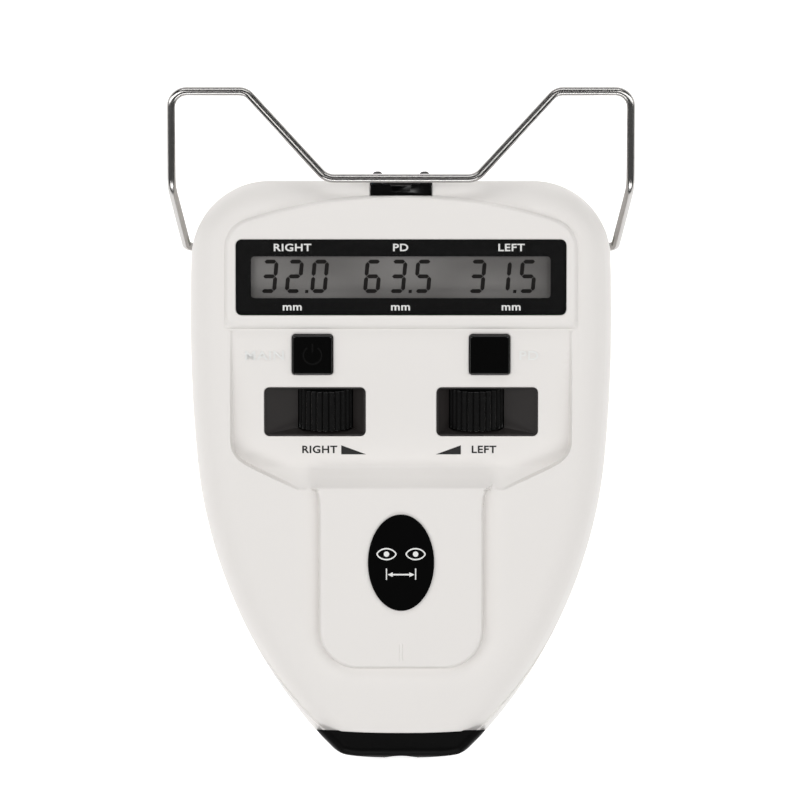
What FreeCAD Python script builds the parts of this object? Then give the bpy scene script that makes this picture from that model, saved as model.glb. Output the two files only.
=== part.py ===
import FreeCAD, Part
import math
import os
import re
import Sketcher
from FreeCAD import Placement, Rotation, Vector

# Pupillary distance meter.  Origin: centre of the flat underside.  +Z is up, towards the display.
# +Y points at the patient (nose rest, forehead rest); the examiner looks in at the -Y end.

DIMENSIONS = [
    ("half_width", 81, "half of the widest part of the housing"),
    ("widest_y", 48, "where the housing is widest"),
    ("front_y", 100, "front face"),
    ("corner_radius", 30, "front corners in plan"),
    ("side_radius", 600, "long sides in plan"),
    ("taper_radius", 187, "tapering sides in plan"),
    ("taper_start", 53, "from the widest point back to where the taper starts"),
    ("tail_y", -128, "end of the shell's outline before it is trimmed for the end cap"),
    ("shell_end", -111.6, "where the white shells stop"),
    ("cap_end", -122.4, "end of the black end cap"),
    ("deck_height", 50.1, "top of hood and tongue, measured at y = 0"),
    ("deck_slope", 0.158, "rise of the deck towards the front"),
    ("shoulder_drop", 1.75, "shoulder below the hood and tongue"),
    ("parting", 26, "height where the two shells meet"),
    ("wall", 2.4, "shell wall"),
    ("rim_radius", 13, "round of the upper rim"),
    ("foot_radius", 10, "round of the lower edge"),
    ("panel_y", 11.3, "origin of the control panel, at the middle of the wheels"),
    ("panel_z", 46.4, "height of the control panel there"),
    ("panel_tilt", 14, "tilt of the control panel"),
    ("panel_half", 65, "half width of the control panel"),
    ("panel_top", 44.8, "front edge of the control panel"),
    ("panel_foot", -10.2, "where the panel starts to rise to the tongue"),
    ("rise_end", -18.3, "where that rise ends"),
    ("rise_height", 47.4, "height at the end of the rise"),
    ("hood_half", 67.5, "half width of the display hood"),
    ("hood_front_y", 94.4, "front of the hood"),
    ("tongue_half", 31.5, "half width of the tongue"),
    ("tongue_end", -87.4, "rear end of the tongue"),
    ("tongue_radius", 15, "rear corners of the tongue"),
    ("window_y", 62.8, "middle of the display window"),
    ("window_length", 126.5, "display window along x"),
    ("window_width", 29.1, "display window along the deck"),
    ("window_thick", 1.5, "display window thickness"),
    ("button_size", 15.2, "width of a push button"),
    ("button_x", 34, "push button from the middle"),
    ("button_v", 22.67, "push button along the panel"),
    ("button_gap", 0.3, "gap round a push button"),
    ("button_proud", 1.6, "push button above the panel"),
    ("well_x", 33.1, "wheel well from the middle"),
    ("well_length", 39, "wheel well along x"),
    ("well_width", 19.3, "wheel well along the panel"),
    ("well_depth", 5.6, "foot of the ramps below the panel"),
    ("trough_depth", 13.5, "underside of the trough below the panel"),
    ("trough_wall", 1.2, "wall of the trough"),
    ("wheel_x", 29, "thumbwheel from the middle"),
    ("wheel_radius", 11.75, "thumbwheel over its ribs"),
    ("wheel_width", 16.3, "thumbwheel along its axle"),
    ("wheel_depth", 11.25, "thumbwheel axle below the panel"),
    ("wheel_gap", 0.35, "gap round the thumbwheel"),
    ("rib_count", 28, "ribs of a thumbwheel"),
    ("axle_radius", 1.5, "thumbwheel axle"),
    ("running_gap", 0.05, "radial clearance of running fits"),
    ("hub_radius", 3, "hub between thumbwheel and pinion"),
    ("gear_module", 0.8, "module of pinion and rack"),
    ("gear_teeth", 14, "teeth of the pinion"),
    ("pinion_v", 10.2, "near face of the pinion along the axle"),
    ("pinion_width", 4, "face width of the pinion"),
    ("carriage_x_right", -32, "right hairline when the display reads 32.0"),
    ("carriage_x_left", 31.5, "left hairline when the display reads 31.5"),
    ("rod_z", 31.5, "height of the guide rods"),
    ("rod_radius", 2, "guide rod"),
    ("rod_front_y", 72, "front guide rod"),
    ("rod_rear_y", 40, "rear guide rod"),
    ("optical_z", 21, "height of the optical axis"),
    ("eye_x", 32, "front windows from the middle"),
    ("eye_radius", 11, "front windows"),
    ("wire_radius", 1.7, "forehead rest wire"),
    ("pivot_y", 75, "forehead rest pivot"),
    ("pivot_z", 28, "height of that pivot"),
    ("pocket_radius", 18, "round recess in the side walls at the pivot"),
    ("pocket_floor", 76.6, "floor of that recess, from the middle"),
    ("bush_radius", 3.5, "bush round the end of the forehead wire"),
    ("nose_half", 12, "half width of the nose notch"),
    ("nose_back", 94, "back of the nose notch"),
    ("nose_floor", 18, "floor of the nose notch"),
    ("sight_z", 16, "height of the eyepiece's axis"),
    ("pad_x", 9, "nose pad pins from the middle"),
    ("pad_y", 100, "nose pad pins"),
    ("badge_half_x", 12.75, "badge half axis across"),
    ("badge_half_y", 18.8, "badge half axis along"),
    ("badge_y", -46.7, "middle of the badge"),
    ("battery_y", -47, "middle of the battery compartment"),
    ("battery_half_x", 29, "half length of the battery compartment"),
    ("battery_half_y", 17.5, "half width of the battery compartment"),
    ("battery_top", 18.9, "ceiling of the battery compartment"),
]
ALIASES = {alias for alias, _, _ in DIMENSIONS}
BIG = 400
SIDES = [("right", -1), ("left", 1)]

doc = FreeCAD.newDocument("pd_meter")
sheet = doc.addObject("Spreadsheet::Sheet", "dims")
for row, (alias, value, note) in enumerate(DIMENSIONS, 1):
    sheet.set("A%d" % row, alias)
    sheet.set("B%d" % row, str(value))
    sheet.set("C%d" % row, note)
    sheet.setAlias("B%d" % row, alias)
doc.recompute()
NODES = []
ROD_ROWS = (("rear", "rod_rear_y"), ("front", "rod_front_y"))
BOARD_SCREWS = [(64 * i, 1.5 + 14.5 * j) for i in (-1, 1) for j in (-1, 1)]
CASE_SCREWS = [(x * sign, y) for x, y in ((70, 36), (45, -45), (24, -95)) for sign in (-1, 1)]


def size_of(text):
    """The value of an expression in the sheet's aliases."""
    value = sheet.evalExpression(linked(text))
    return float(getattr(value, "Value", value))


def linked(text):
    """An expression with each alias written as a reference to the sheet."""
    def reference(match):
        word = match.group()
        return "dims." + word if word in ALIASES else word
    return re.sub(r"[a-z_]+[0-9]?", reference, str(text))


def bind(obj, values):
    """Bind properties of an object to expressions."""
    for name, text in values.items():
        obj.setExpression(name, linked(text))
    return obj


def place(obj, at=("0", "0", "0"), axis=(1, 0, 0), angle="0"):
    """Bind an object's place, with a turn about one axis."""
    obj.Placement = Placement(Vector(), Rotation(Vector(*axis), 1))
    bind(obj, {"Placement.Base.%s" % letter: text for letter, text in zip("xyz", at)})
    return bind(obj, {"Placement.Rotation.Angle": angle})


def framed(obj):
    """An object held in a frame of its own, which can then be placed."""
    frame = doc.addObject("Part::Compound", obj.Name + "_frame")
    frame.Links = [obj]
    return frame


def on_panel(obj):
    """Put an object drawn in the panel's own frame on the tilted control panel."""
    return place(framed(obj), ("0", "panel_y", "panel_z"), angle="panel_tilt")


def on_deck(obj):
    """Put an object drawn in the deck's own frame on the sloping deck at the display."""
    height = "deck_height + deck_slope * window_y"
    return place(framed(obj), ("0", "window_y", height), angle="atan(deck_slope)")


def box(name, low, high):
    """A box between two corners."""
    obj = doc.addObject("Part::Box", name)
    for side, a, b in zip(("Length", "Width", "Height"), low, high):
        bind(obj, {side: "(%s) - (%s)" % (b, a)})
    return place(obj, low)


TURNS = {"x": ((0, 1, 0), 90), "y": ((1, 0, 0), -90), "z": ((1, 0, 0), 0)}


def rod(name, at, radius, length, along="z", cone_to=None):
    """A cylinder or cone that starts at a point and runs along one axis."""
    axis, angle = TURNS[along]
    obj = doc.addObject("Part::Cylinder" if cone_to is None else "Part::Cone", name)
    if cone_to is None:
        bind(obj, {"Radius": radius, "Height": length})
    else:
        bind(obj, {"Radius1": radius, "Radius2": cone_to, "Height": length})
    return place(obj, at, axis, angle)


def cut(name, base, *tools):
    """Base less each tool."""
    for number, tool in enumerate(tools):
        step = doc.addObject("Part::Cut", name if tool is tools[-1] else "%s_cut%d" % (name, number))
        step.Base = base
        step.Tool = tool
        base = step
    return base


def fuse(name, *shapes):
    """All the shapes as one."""
    obj = doc.addObject("Part::MultiFuse", name)
    obj.Shapes = list(shapes)
    return obj


def common(name, *shapes):
    """What all the shapes share."""
    obj = doc.addObject("Part::MultiCommon", name)
    obj.Shapes = list(shapes)
    return obj


def group(name, *shapes):
    """Separate solids that share one node."""
    obj = doc.addObject("Part::Compound", name)
    obj.Links = list(shapes)
    return obj


def rounded(name, base, radius, wanted):
    """Fillet the edges for which wanted(edge) is true."""
    doc.recompute()
    value = size_of(radius)
    obj = doc.addObject("Part::Fillet", name)
    obj.Base = base
    chosen = [i for i, edge in enumerate(base.Shape.Edges, 1) if wanted(edge)]
    obj.Edges = [(i, value, value) for i in chosen]
    return obj


def upright(edge):
    """True for an edge parallel to Z."""
    ends = edge.Vertexes
    if len(ends) != 2:
        return False
    run = ends[1].Point - ends[0].Point
    return run.Length > 0.2 and math.hypot(run.x, run.y) < 1e-6


def level(height):
    """A test for edges that lie at one height."""
    return lambda edge: abs(edge.BoundBox.ZMin - height) < 1e-4 and abs(edge.BoundBox.ZMax - height) < 1e-4


def corner_path(corners):
    """Lines and tangent arcs through corner points (x, y, radius)."""
    points = [Vector(x, y, 0) for x, y, _ in corners]
    curves = []
    trims = []
    for i, (point, corner) in enumerate(zip(points, corners)):
        before = (points[i - 1] - point).normalize()
        after = (points[(i + 1) % len(points)] - point).normalize()
        half = before.getAngle(after) / 2
        setback = corner[2] / math.tan(half)
        trims.append((point + before * setback, point + after * setback))
        if corner[2] > 0:
            middle = point + (before + after).normalize() * (corner[2] / math.sin(half))
            nearest = middle + (point - middle).normalize() * corner[2]
            curves.append(Part.Arc(trims[-1][0], nearest, trims[-1][1]))
        else:
            curves.append(None)
    path = []
    for i, arc in enumerate(curves):
        if arc:
            path.append(arc)
        path.append(Part.LineSegment(trims[i][1], trims[(i + 1) % len(trims)][0]))
    return path


PLANES = {"XY": Placement(), "YZ": Placement(Vector(), Rotation(Vector(1, 1, 1), 120)),
          "XZ": Placement(Vector(), Rotation(Vector(1, 0, 0), 90))}


def sketch(name, curves, plane="XY", radii=None):
    """A sketch of joined curves, its named radii bound to the sheet."""
    obj = doc.addObject("Sketcher::SketchObject", name)
    obj.Placement = PLANES[plane]
    obj.addGeometry(curves, False)
    for i in range(len(curves)):
        other = (i + 1) % len(curves)
        pairs = [(end, start) for end in (1, 2) for start in (1, 2)]
        for end, start in pairs:
            if obj.getPoint(i, end).distanceToPoint(obj.getPoint(other, start)) < 1e-6:
                obj.addConstraint(Sketcher.Constraint("Coincident", i, end, other, start))
    for index, text in (radii or {}).items():
        number = obj.addConstraint(Sketcher.Constraint("Radius", index, size_of(text)))
        obj.setExpression("Constraints[%d]" % number, linked(text))
    return obj


def extruded(name, profile, start, length):
    """A prism from a sketch, from start over length along the sketch's normal."""
    obj = doc.addObject("Part::Extrusion", name)
    obj.Base = profile
    obj.DirMode = "Normal"
    obj.Solid = True
    total = "(%s) + (%s)" % (start, length)
    bind(obj, {"LengthFwd": total, "LengthRev": "-(%s)" % start})
    return obj


def node(obj, label):
    """Mark an object as a sub-part, to be written under this label."""
    obj.Label = label
    NODES.append(obj)
    return obj


# ---------------------------------------------------------------- housing

def arc_about(centre, radius, start, end):
    """The short arc about a centre between two points on it."""
    middle = ((start - centre).normalize() + (end - centre).normalize()).normalize() * radius
    return Part.Arc(start, centre + middle, end)


def flipped(curve):
    """A curve mirrored across x = 0, drawn the other way."""
    ends = [Vector(-p.x, p.y, 0) for p in (curve.EndPoint, curve.StartPoint)]
    middle = curve.value((curve.FirstParameter + curve.LastParameter) / 2)
    return Part.Arc(ends[0], Vector(-middle.x, middle.y, 0), ends[1])


def housing_outline(name, inset):
    """Plan outline of the housing: front line, corner arcs, side arcs, taper arcs and tail arc."""
    gap = size_of(inset)
    side = size_of("side_radius")
    corner = size_of("corner_radius")
    taper = size_of("taper_radius")
    side_centre = Vector(size_of("half_width") - side, size_of("widest_y"), 0)
    corner_y = size_of("front_y") - corner
    reach = math.sqrt((side - corner) ** 2 - (corner_y - side_centre.y) ** 2)
    corner_centre = Vector(side_centre.x + reach, corner_y, 0)
    back = size_of("taper_start")
    to_taper = Vector(math.sqrt(side ** 2 - back ** 2), -back, 0).normalize()
    taper_centre = side_centre + to_taper * (side - taper)
    tail = size_of("tail_y")
    drop = taper_centre.y - tail
    tail_radius = (taper_centre.x ** 2 + drop ** 2 - taper ** 2) / (2 * (drop - taper))
    tail_centre = Vector(0, tail + tail_radius, 0)
    front = Vector(corner_centre.x, size_of("front_y") - gap, 0)
    to_side = (corner_centre - side_centre).normalize()
    to_tail = (tail_centre - taper_centre).normalize()
    first = side_centre + to_side * (side - gap)
    second = side_centre + to_taper * (side - gap)
    third = taper_centre + to_tail * (taper - gap)
    right_side = [arc_about(corner_centre, corner - gap, front, first),
                  arc_about(side_centre, side - gap, first, second),
                  arc_about(taper_centre, taper - gap, second, third)]
    end = Part.Arc(third, Vector(0, tail + gap, 0), Vector(-third.x, third.y, 0))
    line = Part.LineSegment(Vector(-front.x, front.y, 0), front)
    curves = [line] + right_side + [end] + [flipped(c) for c in reversed(right_side)]
    bound = {1: "corner_radius - %s" % inset, 2: "side_radius - %s" % inset, 3: "taper_radius - %s" % inset}
    return sketch(name, curves, radii=bound)


def above_deck(name, drop):
    """The space above a plane parallel to the deck."""
    block = box(name + "_block", (-BIG / 2, -BIG / 2, 0), (BIG / 2, BIG / 2, BIG / 2))
    shifted = fuse(name, block, box(name + "_core", (-1, -1, 0), (1, 1, 1)))
    return place(shifted, ("0", "0", "deck_height - (%s)" % drop), angle="atan(deck_slope)")


def on_slope(drop):
    """A test for edges that lie in a plane parallel to the deck."""
    height = size_of("deck_height") - size_of(drop)
    slope = size_of("deck_slope")

    def wanted(edge):
        ends = [edge.valueAt(edge.FirstParameter), edge.valueAt(edge.LastParameter)]
        return all(abs(p.z - height - slope * p.y) < 1e-4 for p in ends)
    return wanted


def envelope(name, inset):
    """The housing's closed form: outline, sloping top, round rim and round lower edge."""
    drop = "shoulder_drop + (%s) * 1.012" % inset
    raw = extruded(name + "_raw", housing_outline(name + "_outline", inset), inset, "90")
    sloped = cut(name + "_sloped", raw, above_deck(name + "_above", drop))
    rim = rounded(name + "_rim", sloped, "rim_radius - (%s)" % inset, on_slope(drop))
    return rounded(name, rim, "foot_radius - (%s)" % inset, level(size_of(inset)))


def raised_pad(name, curves, edge_radius):
    """A raised area of the deck, up to the deck's plane, with a soft edge."""
    prism = extruded(name + "_prism", sketch(name + "_outline", curves), "35", "50")
    sloped = cut(name + "_sloped", prism, above_deck(name + "_above", "0"))
    return rounded(name, sloped, edge_radius, on_slope("0"))


def hood():
    """Display hood: straight sides, round corners and a bowed front."""
    half = size_of("hood_half")
    front = size_of("hood_front_y")
    corner = 12
    bow = 190
    centre = Vector(0, front - bow, 0)
    middle_x = half - corner
    reach = math.sqrt((bow - corner) ** 2 - middle_x ** 2)
    corner_centre = Vector(middle_x, centre.y + reach, 0)
    join = centre + (corner_centre - centre).normalize() * bow
    foot = size_of("panel_top")
    right = arc_about(corner_centre, corner, Vector(half, corner_centre.y, 0), join)
    curves = [Part.LineSegment(Vector(-half, foot, 0), Vector(half, foot, 0)),
              Part.LineSegment(Vector(half, foot, 0), Vector(half, corner_centre.y, 0)),
              right,
              Part.Arc(join, Vector(0, front, 0), Vector(-join.x, join.y, 0)),
              flipped(right),
              Part.LineSegment(Vector(-half, corner_centre.y, 0), Vector(-half, foot, 0))]
    return raised_pad("hood", curves, "1.2")


def tongue():
    """Tongue between the panel and the end cap."""
    half, end, radius = size_of("tongue_half"), size_of("tongue_end"), size_of("tongue_radius")
    top = size_of("panel_foot") - 2
    flare = half + 6
    curves = corner_path([(-flare, top, 0), (-half, top - 12, 8), (-half, end, radius),
                          (half, end, radius), (half, top - 12, 8), (flare, top, 0)])
    return raised_pad("tongue", curves, "1.2")


def panel_space(name, grow):
    """Space above the control panel and the rise behind it, widened by grow."""
    extra = size_of(grow)
    tilt = math.tan(math.radians(size_of("panel_tilt")))
    top, foot, end = size_of("panel_top"), size_of("panel_foot"), size_of("rise_end")
    height = size_of("panel_z") - extra * 1.03
    rise_end = end - extra * 0.8

    def panel_height(y):
        return height + tilt * (y - size_of("panel_y"))
    side_view = [(top + extra, panel_height(top + extra), 0), (foot, panel_height(foot), 3),
                 (rise_end, size_of("rise_height") - extra * 0.4, 0), (rise_end, 95, 0), (top + extra, 95, 0)]
    half = size_of("panel_half") + extra
    shoulder, waist = half - 3.2, half - 22.5
    plan = [(-half, top + extra + 1, 0), (-half, -1 - extra, 9), (-shoulder + 12, -14 - extra, 16),
            (-waist + 1.5, rise_end - 0.5, 3), (waist - 1.5, rise_end - 0.5, 3),
            (shoulder - 12, -14 - extra, 16), (half, -1 - extra, 9), (half, top + extra + 1, 0)]
    across = extruded(name + "_side", sketch(name + "_side_view", corner_path(side_view), "YZ"), "-100", "200")
    down = extruded(name + "_plan", sketch(name + "_plan_view", corner_path(plan)), "30", "70")
    return common(name, across, down)


def housing():
    """Both shells before they are parted: hollow body, hood, tongue, recesses, bosses and openings."""
    outer = envelope("outer", "0")
    inner = envelope("inner", "wall")
    bosses = [rod("pivot_boss_" + side, (start, "pivot_y", "pivot_z"), "pocket_radius + wall", "7", "x")
              for side, start in (("right", "-79.5"), ("left", "72.5"))]
    nose_wall = box("nose_wall", ("-nose_half - wall", "nose_back - wall", "nose_floor - wall"),
                    ("nose_half + wall", "front_y", "70"))
    battery_wall = box("battery_wall", ("-battery_half_x - 2", "battery_y - battery_half_y - 2", "0"),
                       ("battery_half_x + 2", "battery_y + battery_half_y + 2", "battery_top + 1.6"))
    slider_walls = [box("focus_wall", ("20.4", "-22", "0"), ("39.6", "22", "7.4")),
                    box("shutter_wall", ("-42", "62", "0"), ("42", "80", "7.4"))]
    screw_walls = [rod("screw_wall_%d" % i, (x, y, "0"), "4.2", "62") for i, (x, y) in enumerate(CASE_SCREWS)]
    walls = fuse("walls", nose_wall, battery_wall, *bosses, *slider_walls, *screw_walls)
    inside = common("inside_walls", outer, walls)
    room = cut("room", inner, panel_space("panel_below", "wall"))
    raised = fuse("raised_body", outer, hood(), tongue())
    above = above_deck("above_shoulder", "shoulder_drop + 0.5")
    posts = cut("board_posts_trimmed", board_posts(), above)
    return fuse("body", cut("hollow_body", raised, room), inside, posts)


def board_posts():
    """Posts under the hood that the main board is screwed to."""
    posts = [rod("board_post_%d" % i, (x, v, -11.4), "2.7", "8.4") for i, (x, v) in enumerate(BOARD_SCREWS)]
    return on_deck(fuse("board_posts", *posts))


def openings():
    """Everything cut out of the housing."""
    tools = [panel_space("panel_recess", "0")]
    seat = box("window_seat", ("-window_length / 2 - 0.15", "-window_width / 2 - 0.15", "-window_thick"),
               ("window_length / 2 + 0.15", "window_width / 2 + 0.15", "5"))
    view = box("window_view", ("-58", "-9.6", "-4.4"), ("58", "9.6", "5"))
    bores = [rod("board_screw_bore_%d" % i, (x, v, "-13"), "1.5", "8.4") for i, (x, v) in enumerate(BOARD_SCREWS)]
    seat_round = rounded("window_seat_round", seat, "2.3", upright)
    tools.append(on_deck(fuse("window_opening", seat_round, view, *bores)))
    half = "button_size / 2 + button_gap"
    for side, sign in SIDES:
        key = box("key_hole_" + side, ("%d * button_x - (%s)" % (sign, half), "button_v - (%s) - 0.15" % half, "-9"),
                  ("%d * button_x + (%s)" % (sign, half), "button_v + (%s) + 0.15" % half, "9"))
        well = box("well_hole_" + side, ("%d * well_x - well_length / 2" % sign, "-well_width / 2", "-9"),
                   ("%d * well_x + well_length / 2" % sign, "well_width / 2", "9"))
        holes = [rounded("key_hole_round_" + side, key, "1.2", upright),
                 rounded("well_hole_round_" + side, well, "2", upright)]
        tools.append(on_panel(fuse("panel_holes_" + side, *holes)))
        low = "pocket_floor" if sign > 0 else "-pocket_floor - 20"
        tools.append(rod("pivot_pocket_" + side, (low, "pivot_y", "pivot_z"), "pocket_radius", "20", "x"))
        low = "%d * 80 - 10" % sign
        tools.append(rod("pivot_bore_" + side, (low, "pivot_y", "pivot_z"), "bush_radius", "20", "x"))
        eye = ("%d * eye_x" % sign, "88", "optical_z + 3")
        tools.append(rod("eye_hole_" + side, eye, "eye_radius", "20", "y"))
    tools.append(box("front_plate_seat", ("-46.2", "front_y - 1.3", "8.8"), ("46.2", "front_y + 5", "40.2")))
    tools.append(box("nose_notch", ("-nose_half", "nose_back", "nose_floor"), ("nose_half", "front_y + 5", "80")))
    tools.append(box("battery_room", ("-battery_half_x", "battery_y - battery_half_y", "-1"),
                     ("battery_half_x", "battery_y + battery_half_y", "battery_top")))
    tools.append(box("focus_trough", ("22", "-20", "-1"), ("38", "20", "5")))
    tools.append(box("focus_slot", ("28", "-14", "-1"), ("32", "14", "9")))
    tools.append(box("shutter_trough", ("-40", "64", "-1"), ("40", "78", "5")))
    tools.append(box("shutter_slot", ("-34.5", "69", "-1"), ("34.5", "73", "9")))
    for i, (x, y) in enumerate(CASE_SCREWS):
        tools.append(rod("screw_sink_%d" % i, (x, y, "-1"), "3.4", "7"))
        tools.append(rod("screw_bore_%d" % i, (x, y, "-1"), "1.55", "35"))
    tools.append(box("tail_trim", ("-60", "tail_y - 5", "-5"), ("60", "shell_end", "80")))
    return fuse("openings", *tools)


def shells():
    """Upper and lower shell, parted at one height."""
    whole = cut("housing", housing(), openings())
    above = box("above_parting", (-120, -140, "parting"), (120, 120, 90))
    below = box("below_parting", (-120, -140, -5), (120, 120, "parting"))
    node(common("upper_shell_solid", whole, above), "upper_shell")
    node(common("lower_shell_solid", whole, below), "lower_shell")


def case_screws():
    """Six self-tapping screws from below, heads sunk in the bosses."""
    parts = []
    for i, (x, y) in enumerate(CASE_SCREWS):
        head = rod("screw_head_%d" % i, (x, y, "3.6"), "3", "2.4")
        slot = box("screw_slot_%d" % i, (x - 2.2, y - 0.4, "3"), (x + 2.2, y + 0.4, "4.6"))
        shank = rod("screw_shank_%d" % i, (x, y, "5.9"), "1.55", "27")
        parts.append(cut("screw_%d" % i, fuse("screw_whole_%d" % i, head, shank), slot))
    node(group("case_screw_set", *parts), "case_screws")


# ---------------------------------------------------------------- end cap and eyepiece

def end_cap():
    """Black end cap with a plug that fits inside the shells and a round sight hole."""
    outline = corner_path([(-33, size_of("shell_end"), 0), (-23.4, -121.2, 3.5), (-18, size_of("cap_end"), 20),
                           (18, size_of("cap_end"), 20), (23.4, -121.2, 3.5), (33, size_of("shell_end"), 0)])
    block = extruded("cap_block", sketch("cap_outline", outline), "2.2", "26.8")
    low, high = level(2.2), level(29)

    def soft_edge(edge):
        return (low(edge) or high(edge)) and edge.BoundBox.YMin < size_of("shell_end") - 1
    soft = rounded("cap_round", block, "4", soft_edge)
    plug = box("cap_plug", ("-27", "shell_end", "6"), ("27", "shell_end + 3.2", "25"))
    hole = rod("cap_hole", ("0", "cap_end - 5", "sight_z"), "9.2", "30", "y")
    cone = rod("cap_cone", ("0", "cap_end - 0.01", "sight_z"), "12", "4", "y", cone_to="9.2")
    seat = rod("cap_seat", ("0", "shell_end - 2", "sight_z"), "10.6", "10", "y")
    node(cut("cap_solid", fuse("cap_whole", soft, plug), hole, cone, seat), "end_cap")
    lens = common("eyepiece_core", rod("eyepiece_rim", ("0", "shell_end - 2", "sight_z"), "10.5", "4", "y"),
                  ball("eyepiece_ball", ("0", "shell_end + 28", "sight_z"), "30"))
    node(lens, "eyepiece_lens")
    ring = cut("eyepiece_ring_solid", rod("ring_out", ("0", "shell_end + 2", "sight_z"), "10.55", "1.2", "y"),
               rod("ring_in", ("0", "shell_end + 1", "sight_z"), "9", "4", "y"))
    node(ring, "eyepiece_ring")


def ball(name, at, radius):
    """A sphere about a point."""
    obj = doc.addObject("Part::Sphere", name)
    bind(obj, {"Radius": radius})
    return place(obj, at)


# ---------------------------------------------------------------- display

def display():
    """Window, liquid crystal module, its frame, contact strips and main board, one under the other."""
    pane = box("window_pane", ("-window_length / 2", "-window_width / 2", "-window_thick"),
               ("window_length / 2", "window_width / 2", "0"))
    node(on_deck(rounded("window_solid", pane, "2.2", upright)), "display_window")
    node(on_deck(fuse("lcd_solid", box("lcd_glass", (-58.5, -11.5, -7.4), (58.5, 11.5, -4.6)),
                      box("lcd_ledge", (-58.5, -12.5, -7.4), (58.5, -11.5, -6)))), "lcd_module")
    frame = cut("lcd_frame_solid", box("lcd_frame_block", (-60.4, -14.5, -9.2), (60.4, 14.5, -4.5)),
                box("lcd_frame_hole", (-58.6, -12.6, -7.5), (58.6, 12.6, 0)),
                box("lcd_frame_slot", (-56.2, -11.3, -20), (56.2, 11.3, 0)))
    node(on_deck(frame), "lcd_frame")
    strips = [box("zebra_%d" % i, (-55, 9.4 * i - 1, -11.4), (55, 9.4 * i + 1, -7.4)) for i in (-1, 1)]
    node(on_deck(group("zebra_solid", *strips)), "contact_strips")
    board = box("board_plate", (-67.5, -17, -13), (67.5, 20, -11.4))
    chip = box("board_chip", (-9, -7, -15), (9, 7, -13))
    supply = box("board_supply", (-40, -6, -17), (-28, 6, -13))
    bores = [rod("board_bore_%d" % i, (x, v, -20), "1.6", "20") for i, (x, v) in enumerate(BOARD_SCREWS)]
    node(on_deck(cut("board_solid", fuse("board_whole", board, chip, supply), *bores)), "main_board")
    screws = []
    for i, (x, v) in enumerate(BOARD_SCREWS):
        head = rod("board_head_%d" % i, (x, v, -15), "2.6", "2")
        screws.append(fuse("board_screw_%d" % i, head, rod("board_shank_%d" % i, (x, v, -13), "1.5", "8")))
    node(on_deck(group("board_screw_solid", *screws)), "board_screws")


def badge():
    """Oval badge on the tongue."""
    height = "deck_height + deck_slope * badge_y"
    disc = doc.addObject("Part::Cylinder", "badge_disc")
    bind(disc, {"Radius": "badge_half_x", "Height": "0.8"})
    doc.recompute()
    oval = doc.addObject("Part::Feature", "badge_solid")
    stretch = FreeCAD.Matrix()
    stretch.scale(1, size_of("badge_half_y / badge_half_x"), 1)
    oval.Shape = disc.Shape.transformGeometry(stretch)
    place(oval, ("0", "badge_y", height), angle="atan(deck_slope)")
    node(oval, "badge")


# ---------------------------------------------------------------- buttons

def buttons():
    """Push button with a flange behind the panel, over a rubber dome on the key board."""
    for name, (side, sign) in zip(("power", "mode"), SIDES):
        x = "%d * button_x" % sign
        cap = box(name + "_cap", ("%s - button_size / 2" % x, "button_v - button_size / 2 - 0.15", "-4"),
                  ("%s + button_size / 2" % x, "button_v + button_size / 2 + 0.15", "button_proud"))
        soft = rounded(name + "_cap_round", rounded(name + "_cap_side", cap, "1", upright), "0.8",
                       level(size_of("button_proud")))
        flange = box(name + "_flange", ("%s - 9.4" % x, "button_v - 9.6", "-4"),
                     ("%s + 9.4" % x, "button_v + 9.6", "-2.8"))
        stem = rod(name + "_stem", (x, "button_v", "-7"), "2.5", "3.5")
        node(on_panel(fuse(name + "_solid", soft, flange, stem)), name + "_button")
        dome = rod(name + "_dome_cone", (x, "button_v", "-9.8"), "5", "2.8", cone_to="2.6")
        node(on_panel(dome), name + "_dome")
    board = box("key_board_plate", (-47, 15.6, -11.4), (47, 28.6, -9.8))
    node(on_panel(board), "key_board")


# ---------------------------------------------------------------- wheels, pinions and carriages

def trough(side, sign):
    """Black trough with a ramp each side of the thumbwheel."""
    middle = "%d * well_x" % sign
    near = "%d * wheel_x" % sign
    outer = box(side + "_trough_block",
                ("%s - well_length / 2 + 0.1" % middle, "-well_width / 2 + 0.1", "-trough_depth"),
                ("%s + well_length / 2 - 0.1" % middle, "well_width / 2 - 0.1", "-0.2"))
    inner = [(size_of(middle) + s * (size_of("well_length") / 2 - size_of("trough_wall"))) for s in (-1, 1)]
    chord = math.sqrt(size_of("wheel_radius") ** 2 - (size_of("wheel_depth - well_depth")) ** 2)
    depth = -size_of("well_depth")
    profile = [(inner[0], 3, 0), (inner[0], -0.8, 0), (size_of(near) - chord, depth, 0),
               (size_of(near) + chord, depth, 0), (inner[1], -0.8, 0), (inner[1], 3, 0)]
    space = extruded(side + "_ramp_space", sketch(side + "_ramps", corner_path(profile), "XZ"),
                     "-well_width / 2 + trough_wall", "well_width - 2 * trough_wall")
    start = (near, "-wheel_width / 2 - 0.25", "-wheel_depth")
    room = rod(side + "_wheel_room", start, "wheel_radius + wheel_gap", "wheel_width + 0.5", "y")
    bore = rod(side + "_axle_bore", (near, "-15", "-wheel_depth"), "axle_radius", "15", "y")
    hub = rod(side + "_hub_bore", (near, "0", "-wheel_depth"), "hub_radius + running_gap", "15", "y")
    soft = rounded(side + "_trough_round", outer, "1.9", upright)
    node(on_panel(cut(side + "_trough_solid", soft, space, room, bore, hub)), side + "_wheel_trough")


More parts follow.
